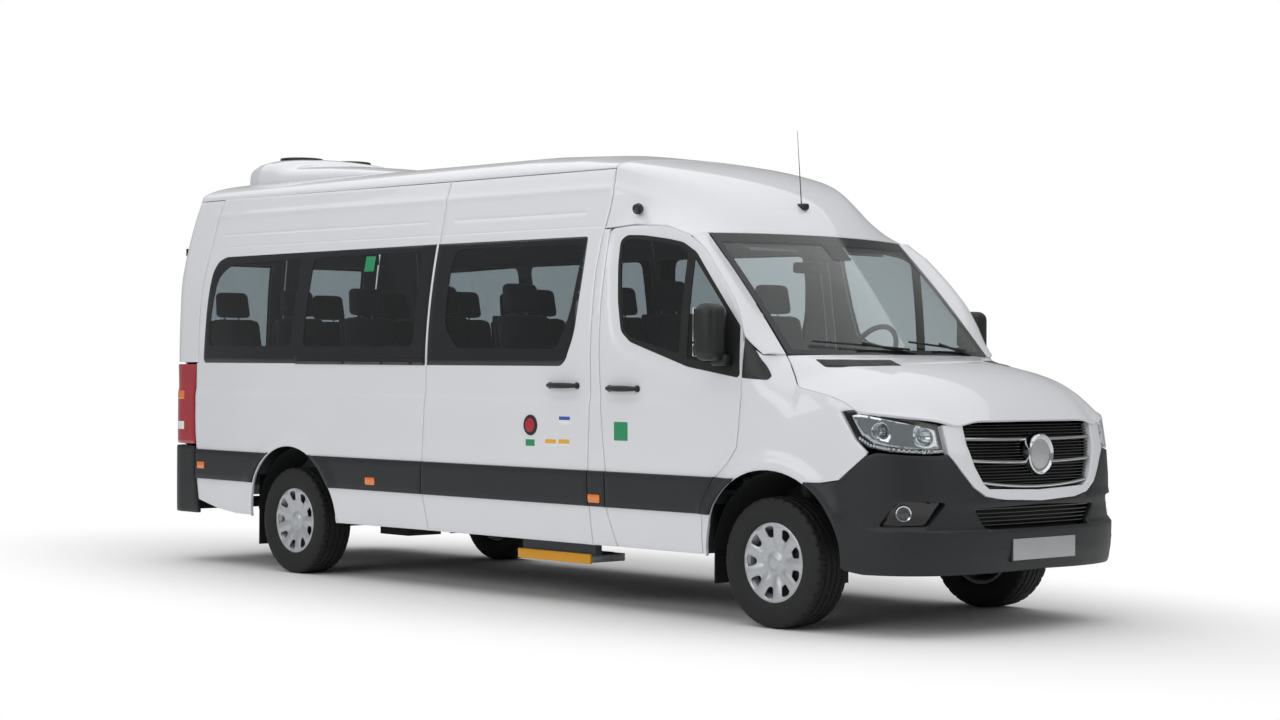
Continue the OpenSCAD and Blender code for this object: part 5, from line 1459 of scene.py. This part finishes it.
width = seat["width"]
cushionForm = padForm("cushion_form", *blockParts((-196, -width / 2 + 4, 2), (238, width / 2 - 4, 108), 34,
                                                  5), cushionSeams, 5200)
backForm = padForm("back_form", *leanBlock((-302, -width / 2 + 4, 112), (-208, width / 2 - 4, 690), 36, 95,
                                           0.14), backSeams, 5600)
headForm = padForm("head_form", *leanBlock((-400, -128, 702), (-322, 128, 876), 30, 26, 0.1),
                   lambda p: np.abs(np.abs(p[:, 1]) - 104) < 3, 1800)
print("seat pads inflated")
seatPlaces = [(-960, 430), (-960, -430)] + [(-2050 - k * seat["pitch"], y) for k in range(seat["rows"])
                                            for y in (-640, 180, 640)]
for k, (x, y) in enumerate(seatPlaces):
    shift = np.array([x, y, seat["high"]])
    for word, (points, faces) in (("cushion", cushionForm), ("back", backForm), ("head", headForm)):
        piece = addPiece(f"seat_{word}_{k + 1}", points + shift, faces, [seatCloth], "shell",
                         slotName="fabric", sharp=60)
    posts = []
    for py in (-58, 58):
        posts.append((*tubeParts([shift + np.array([-384, py, 660]), shift + np.array([-386, py, 730])], 6,
                                 12), 0))
    shell = leanBlock((-330, -206, 118), (-300, 206, 680), 14, 98, 0.12)
    posts.append((shell[0] + shift - np.array([4, 0, 0]), shell[1], 1))
    addParts(f"seat_shell_{k + 1}", posts, [chrome, blackPlastic], "shell")


def profileForm(profile, ys, change=None):
    rings = []
    for y in ys:
        ring = np.array([(x, y, z) for x, z in profile], float)
        rings.append(change(ring) if change else ring)
    n = len(profile)
    faces = gridFaces(len(ys), n, wrapCols=True) + [tuple(range(n))[::-1],
                                                    tuple(range((len(ys) - 1) * n, len(ys) * n))]
    return np.array(rings).reshape(-1, 3), faces


def dashShape(ring):
    y = ring[0, 1]
    high = ring[:, 2] > 1240
    ring[:, 2] += np.where(high, 42 * math.exp(-((y - 430) / 190) ** 4), 0) * ramp(-150, -330, ring[:, 0])
    ring[:, 0] -= 22 * math.exp(-(y / 170) ** 4) * ((ring[:, 2] > 940) & (ring[:, 0] < -300))
    ring[:, 0] += 30 * ramp(700, 840, abs(y)) * (ring[:, 0] < -300)
    return ring


dashProfile = outlined([(-152, 900), (-152, 1350), (-260, 1360), (-398, 1328), (-455, 1250), (-430, 1080),
                        (-335, 935)], [20, 12, 60, 50, 40, 60, 40], 18)
addParts("dashboard_skin", [(*profileForm(dashProfile, np.linspace(-838, 838, 90), dashShape), 0)],
         [dashSkin], "shell", slotName="trim", sharp=50)
extras = [(*blockParts((-486, -110, 1180), (-462, 110, 1330), 6), 1),
          (*blockParts((-480, -92, 1192), (-489, 92, 1318), 2), 0)]
extras += [(*blockParts((-470, y - 62, 1262), (-448, y + 62, 1312), 8), 1) for y in (-760, -250, 230, 770)]
extras += [(*blockParts((-478, y - 54, z), (-456, y + 54, z + 4), 1), 2) for y in (-760, -250, 230, 770)
           for z in (1272, 1284, 1296)]
extras.append((*blockParts((-448, -700, 1090), (-432, -300, 1200), 8), 1))
addParts("dashboard_panels", extras, [pianoBlack, blackPlastic, chrome], "shell")
column = joints["steering_column"]
columnTop = (np.array(column["pos_m"]) - np.array([frontHub.x, 0, 0])) / mm
columnWay = np.array(column["axis"], float)
if columnWay[0] > 0:
    columnWay = -columnWay
turnRadius = 190
rim = latheParts([(turnRadius + 15 * math.cos(a), 15 * math.sin(a)) for a in np.linspace(0, 2 * math.pi,
                                                                                         21)[:-1]],
                 columnTop, columnWay, 96)
boss = latheParts([(0, 22), (50, 20), (74, 10), (78, -6), (70, -34), (40, -52), (0, -56)], columnTop,
                  columnWay, 48, closed=False)
across = np.array([0, 1.0, 0])
down = np.cross(columnWay, across)
down = down if down[2] < 0 else -down
spokes = [(*tubeParts([columnTop + way * 60, columnTop + way * 120 - columnWay * 6, columnTop + way * 184],
                      12, 10), 0) for way in (across, -across, down)]
addParts("steering_wheel_rim", [(*rim, 0), (*boss, 0)] + spokes, [dashSkin], "steering_wheel",
         slotName="trim")
stalk = tubeParts([columnTop - columnWay * 62, columnTop - columnWay * 200, columnTop - columnWay * 380],
                  36, 20)
addPiece("steering_column_cover", *stalk, [dashSkin], "shell")

# bulkhead, shelf below the windscreen and walls beside the pedals
walls = [(*blockParts((-150, -430, 640), (-126, 430, 1350), 3), 0),
         (*blockParts((-150, -815, 1350), (120, 815, 1375), 3), 0)]
walls += [(*blockParts((-150, min(s * 430, s * 900), 892), (-126, max(s * 430, s * 900), 1350), 3), 0)
          for s in (1, -1)]
addParts("bulkhead_panels", walls, [dipCoat], "shell")
cowl = []
for t in np.linspace(-1, 1, 61):
    foot = screenPoint(np.array([1.0]), np.array([t * 0.985]))[0] + np.array([-6, 0, -6])
    front = np.array([186 - 200 * t * t, t * 836, 1424 - 8 * t * t])
    cowl.append([foot + (front - foot) * k for k in (0, 0.3, 0.6, 1)])
addGrid("cowl_strip", cowl, "shell", [blackPlastic], depth=5, lip=1.5)


def archLiner(name, x, y0, y1, side, radius, start, end):
    angles = np.linspace(math.radians(start), math.radians(end), 44)
    ys = np.linspace(y0, y1, 12)
    grid = [[(x + radius * math.cos(a), side * y, hubHeight + 5 + radius * math.sin(a)) for y in ys]
            for a in angles]
    addGrid(name, grid, "shell", [dipCoat], depth=4, middle=(x, 0, hubHeight))


for sideName, side in sideOf.items():
    archLiner(f"arch_liner_front_{sideName}", 0, 500, 925, side, 471, 6, 176)
    archLiner(f"arch_liner_rear_{sideName}", rearAxle, 668, 922, side, 470, 6, 174)
    visor = blockParts((-700, min(side * 180, side * 560), 2040), (-560, max(side * 180, side * 560), 2058),
                       7)
    tilt = visor[0].copy()
    tilt[:, 2] += (tilt[:, 0] + 630) * -0.35
    addPiece(f"sun_visor_{sideName}", tilt, visor[1], [liningFelt], "shell")
addParts("inner_mirror", [(*blockParts((-596, -62, 1968), (-520, 62, 2060), 14), 0),
                          (*blockParts((-668, -112, 1906), (-628, 112, 1968), 16), 0),
                          (*tubeParts([(-560, 0, 2000), (-640, 0, 1950)], 9, 10), 0)], [blackPlastic],
         "shell")


def wiper(name, side):
    t0, t1 = (-0.05, -0.8) if side < 0 else (0.62, 0.0)
    blade = [screenPoint(np.array([0.975 - 0.06 * k]), np.array([t0 + (t1 - t0) * k]))[0]
             + np.array([14, 0, 14]) for k in np.linspace(0, 1, 16)]
    pivot = screenPoint(np.array([1.0]), np.array([t0 + 0.06]))[0] + np.array([-2, 0, 8])
    arm = [pivot + (blade[8] + np.array([10, 0, 10]) - pivot) * k for k in np.linspace(0, 1, 8)]
    addParts(name, [(*tubeParts(blade, 6, 8), 0), (*tubeParts(arm, 7, 8), 0),
                    (*discParts(pivot, (0.7, 0, 0.7), 14, 16, 3), 0)], [blackPlastic], "shell")


wiper("wiper_right", -1)
wiper("wiper_left", 1)


# ---- finishes for the parts under the body, which keep their CAD form ----

under = {"floor_pan": floorVinyl, "chassis_rails": dipCoat, "front_frame": dipCoat, "mud_flaps": sealRubber,
         "seat_frames": dipCoat, "engine": castIron, "fuel_tank": blackPlastic, "exhaust": rolledSteel,
         "propeller_shaft": dipCoat, "rear_axle_beam": castIron, "front_suspension": dipCoat,
         "spare_wheel": tyreRubber, "knuckle_left": castIron, "knuckle_right": castIron}
for nodeName, material in under.items():
    for slotItem in frame["nodes"][nodeName].material_slots:
        slotItem.material = material
print("inside built")


# ---- CAD nodes that these pieces stand for ----

def stands(pieceName, *nodes):
    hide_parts(*nodes)


for sideName in ("right", "left"):
    stands(f"rear_quarter_{sideName}", f"side_panel_{sideName}")
    stands(f"cab_door_{sideName}", f"front_door_{sideName}")
    stands(f"rear_door_skin_{sideName}", f"rear_door_{sideName}")
    for end in ("front", "rear"):
        stands(f"tyre_{end}_{sideName}_rubber", f"tyre_{end}_{sideName}")
        stands(f"rim_{end}_{sideName}_steel", f"rim_{end}_{sideName}")
stands("side_door_right", "sliding_door")
stands("quarter_glass_right", "fixed_windows")
stands("trim_quarter_right", "side_trim")
stands("roof_skin", "roof_panel")
stands("roof_cooler_shell", "roof_air_conditioner")
stands("front_wing_right", "front_wings")
stands("bonnet_panel", "bonnet")
stands("bumper_skin", "front_bumper")
stands("grille_surround", "grille")
stands("headlamp_lens_right", "headlamps")
stands("tail_lamp_right", "tail_lamps")
stands("rear_bumper_right", "rear_bumper")
stands("side_step_tread", "side_step")
stands("screen_pillar_right", "windscreen_frame")
stands("dashboard_skin", "dashboard")
stands("seat_cushion_1", "seat_cushions")
stands("seat_back_1", "seat_backs")
stands("steering_wheel_rim", "steering_wheel")


# ---- camera, floor and light ----

camera = {"place": (11.1135, -10.055, 1.376), "heading": 136.79, "pitch": 0.128, "roll": -0.36, "lens": 67.3}


def addCamera():
    data = bpy.data.cameras.new("camera")
    data.lens, data.sensor_width, data.clip_end = camera["lens"], 36, 200
    thing = bpy.data.objects.new("camera", data)
    bpy.context.scene.collection.objects.link(thing)
    heading, pitch = math.radians(camera["heading"]), math.radians(camera["pitch"])
    way = Vector((math.cos(heading) * math.cos(pitch), math.sin(heading) * math.cos(pitch), math.sin(pitch)))
    turn = Quaternion(way, math.radians(camera["roll"])) @ way.to_track_quat("-Z", "Y")
    thing.rotation_mode = "QUATERNION"
    thing.location, thing.rotation_quaternion = camera["place"], turn
    bpy.context.scene.camera = thing


studio = {"floorHalf": 60, "topPower": 1130, "sidePower": 350, "frontPower": 80, "ambient": 0.27,
          "stretch": (0.42, 1, 1), "fadeFrom": 1.4, "fadeTo": 2.9}


def addLamp(name, place, target, size, power):
    data = bpy.data.lights.new(name, "AREA")
    data.shape, data.size, data.size_y, data.energy = "RECTANGLE", size[0], size[1], power
    lamp = bpy.data.objects.new(name, data)
    bpy.context.scene.collection.objects.link(lamp)
    lamp.location = place
    lamp.rotation_mode = "QUATERNION"
    lamp.rotation_quaternion = (Vector(target) - Vector(place)).to_track_quat("-Z", "Y")


def addStudio():
    half = studio["floorHalf"]
    mesh = bpy.data.meshes.new("studio_floor")
    mesh.from_pydata([(-half, -half, 0), (half, -half, 0), (half, half, 0), (-half, half, 0)], [],
                     [(0, 1, 2, 3)])
    floor = bpy.data.objects.new("studio_floor", mesh)
    bpy.context.scene.collection.objects.link(floor)
    material = bpy.data.materials.new("matt_white_paint")
    material.use_nodes = True
    tree = material.node_tree
    tree.nodes.remove(tree.nodes["Principled BSDF"])
    ray = addNode(tree, "ShaderNodeLightPath")
    matt = addNode(tree, "ShaderNodeBsdfDiffuse", {"Color": hexColour("#f7f7f7")})
    glow = addNode(tree, "ShaderNodeEmission", {"Color": (1, 1, 1, 1), "Strength": 1.0})
    place = addNode(tree, "ShaderNodeTexCoord").outputs["Object"]
    oval = addNode(tree, "ShaderNodeVectorMath", {0: place, 1: studio["stretch"]}, operation="MULTIPLY")
    far = addNode(tree, "ShaderNodeVectorMath", {0: oval.outputs["Vector"]}, operation="LENGTH")
    fade = addNode(tree, "ShaderNodeMapRange", {"Value": far.outputs["Value"],
                                                "From Min": studio["fadeFrom"],
                                                "From Max": studio["fadeTo"], "To Min": 0.0, "To Max": 1.0},
                   interpolation_type="SMOOTHSTEP")
    share = addNode(tree, "ShaderNodeMath", {0: ray.outputs["Is Camera Ray"], 1: fade.outputs["Result"]},
                    operation="MULTIPLY")
    both = addNode(tree, "ShaderNodeMixShader", {0: share.outputs["Value"], 1: matt.outputs["BSDF"],
                   2: glow.outputs["Emission"]})
    tree.links.new(both.outputs["Shader"], tree.nodes["Material Output"].inputs["Surface"])
    mesh.materials.append(material)
    world = bpy.data.worlds.new("studio")
    bpy.context.scene.world = world
    world.use_nodes = True
    tree = world.node_tree
    sky = tree.nodes["Background"]
    ray = addNode(tree, "ShaderNodeLightPath")
    seen = addNode(tree, "ShaderNodeMath", {0: ray.outputs["Is Camera Ray"],
                                            1: ray.outputs["Is Transmission Ray"]}, operation="MAXIMUM")
    strength = addNode(tree, "ShaderNodeMapRange", {"Value": seen.outputs["Value"],
                                                    "To Min": studio["ambient"], "To Max": 1.0})
    tree.links.new(strength.outputs["Result"], sky.inputs["Strength"])
    sky.inputs["Color"].default_value = (1, 1, 1, 1)
    addLamp("overhead_softbox", (0, 0, 8.5), (0, 0, 0), (26, 16), studio["topPower"])
    addLamp("side_softbox", (1, -11, 5.5), (0, 0, 1.2), (14, 4), studio["sidePower"])
    addLamp("front_softbox", (12, 1, 4.5), (2.5, 0, 1), (6, 4), studio["frontPower"])
    bpy.context.scene.view_settings.view_transform = "Standard"


addCamera()
addStudio()
print("camera and light set")
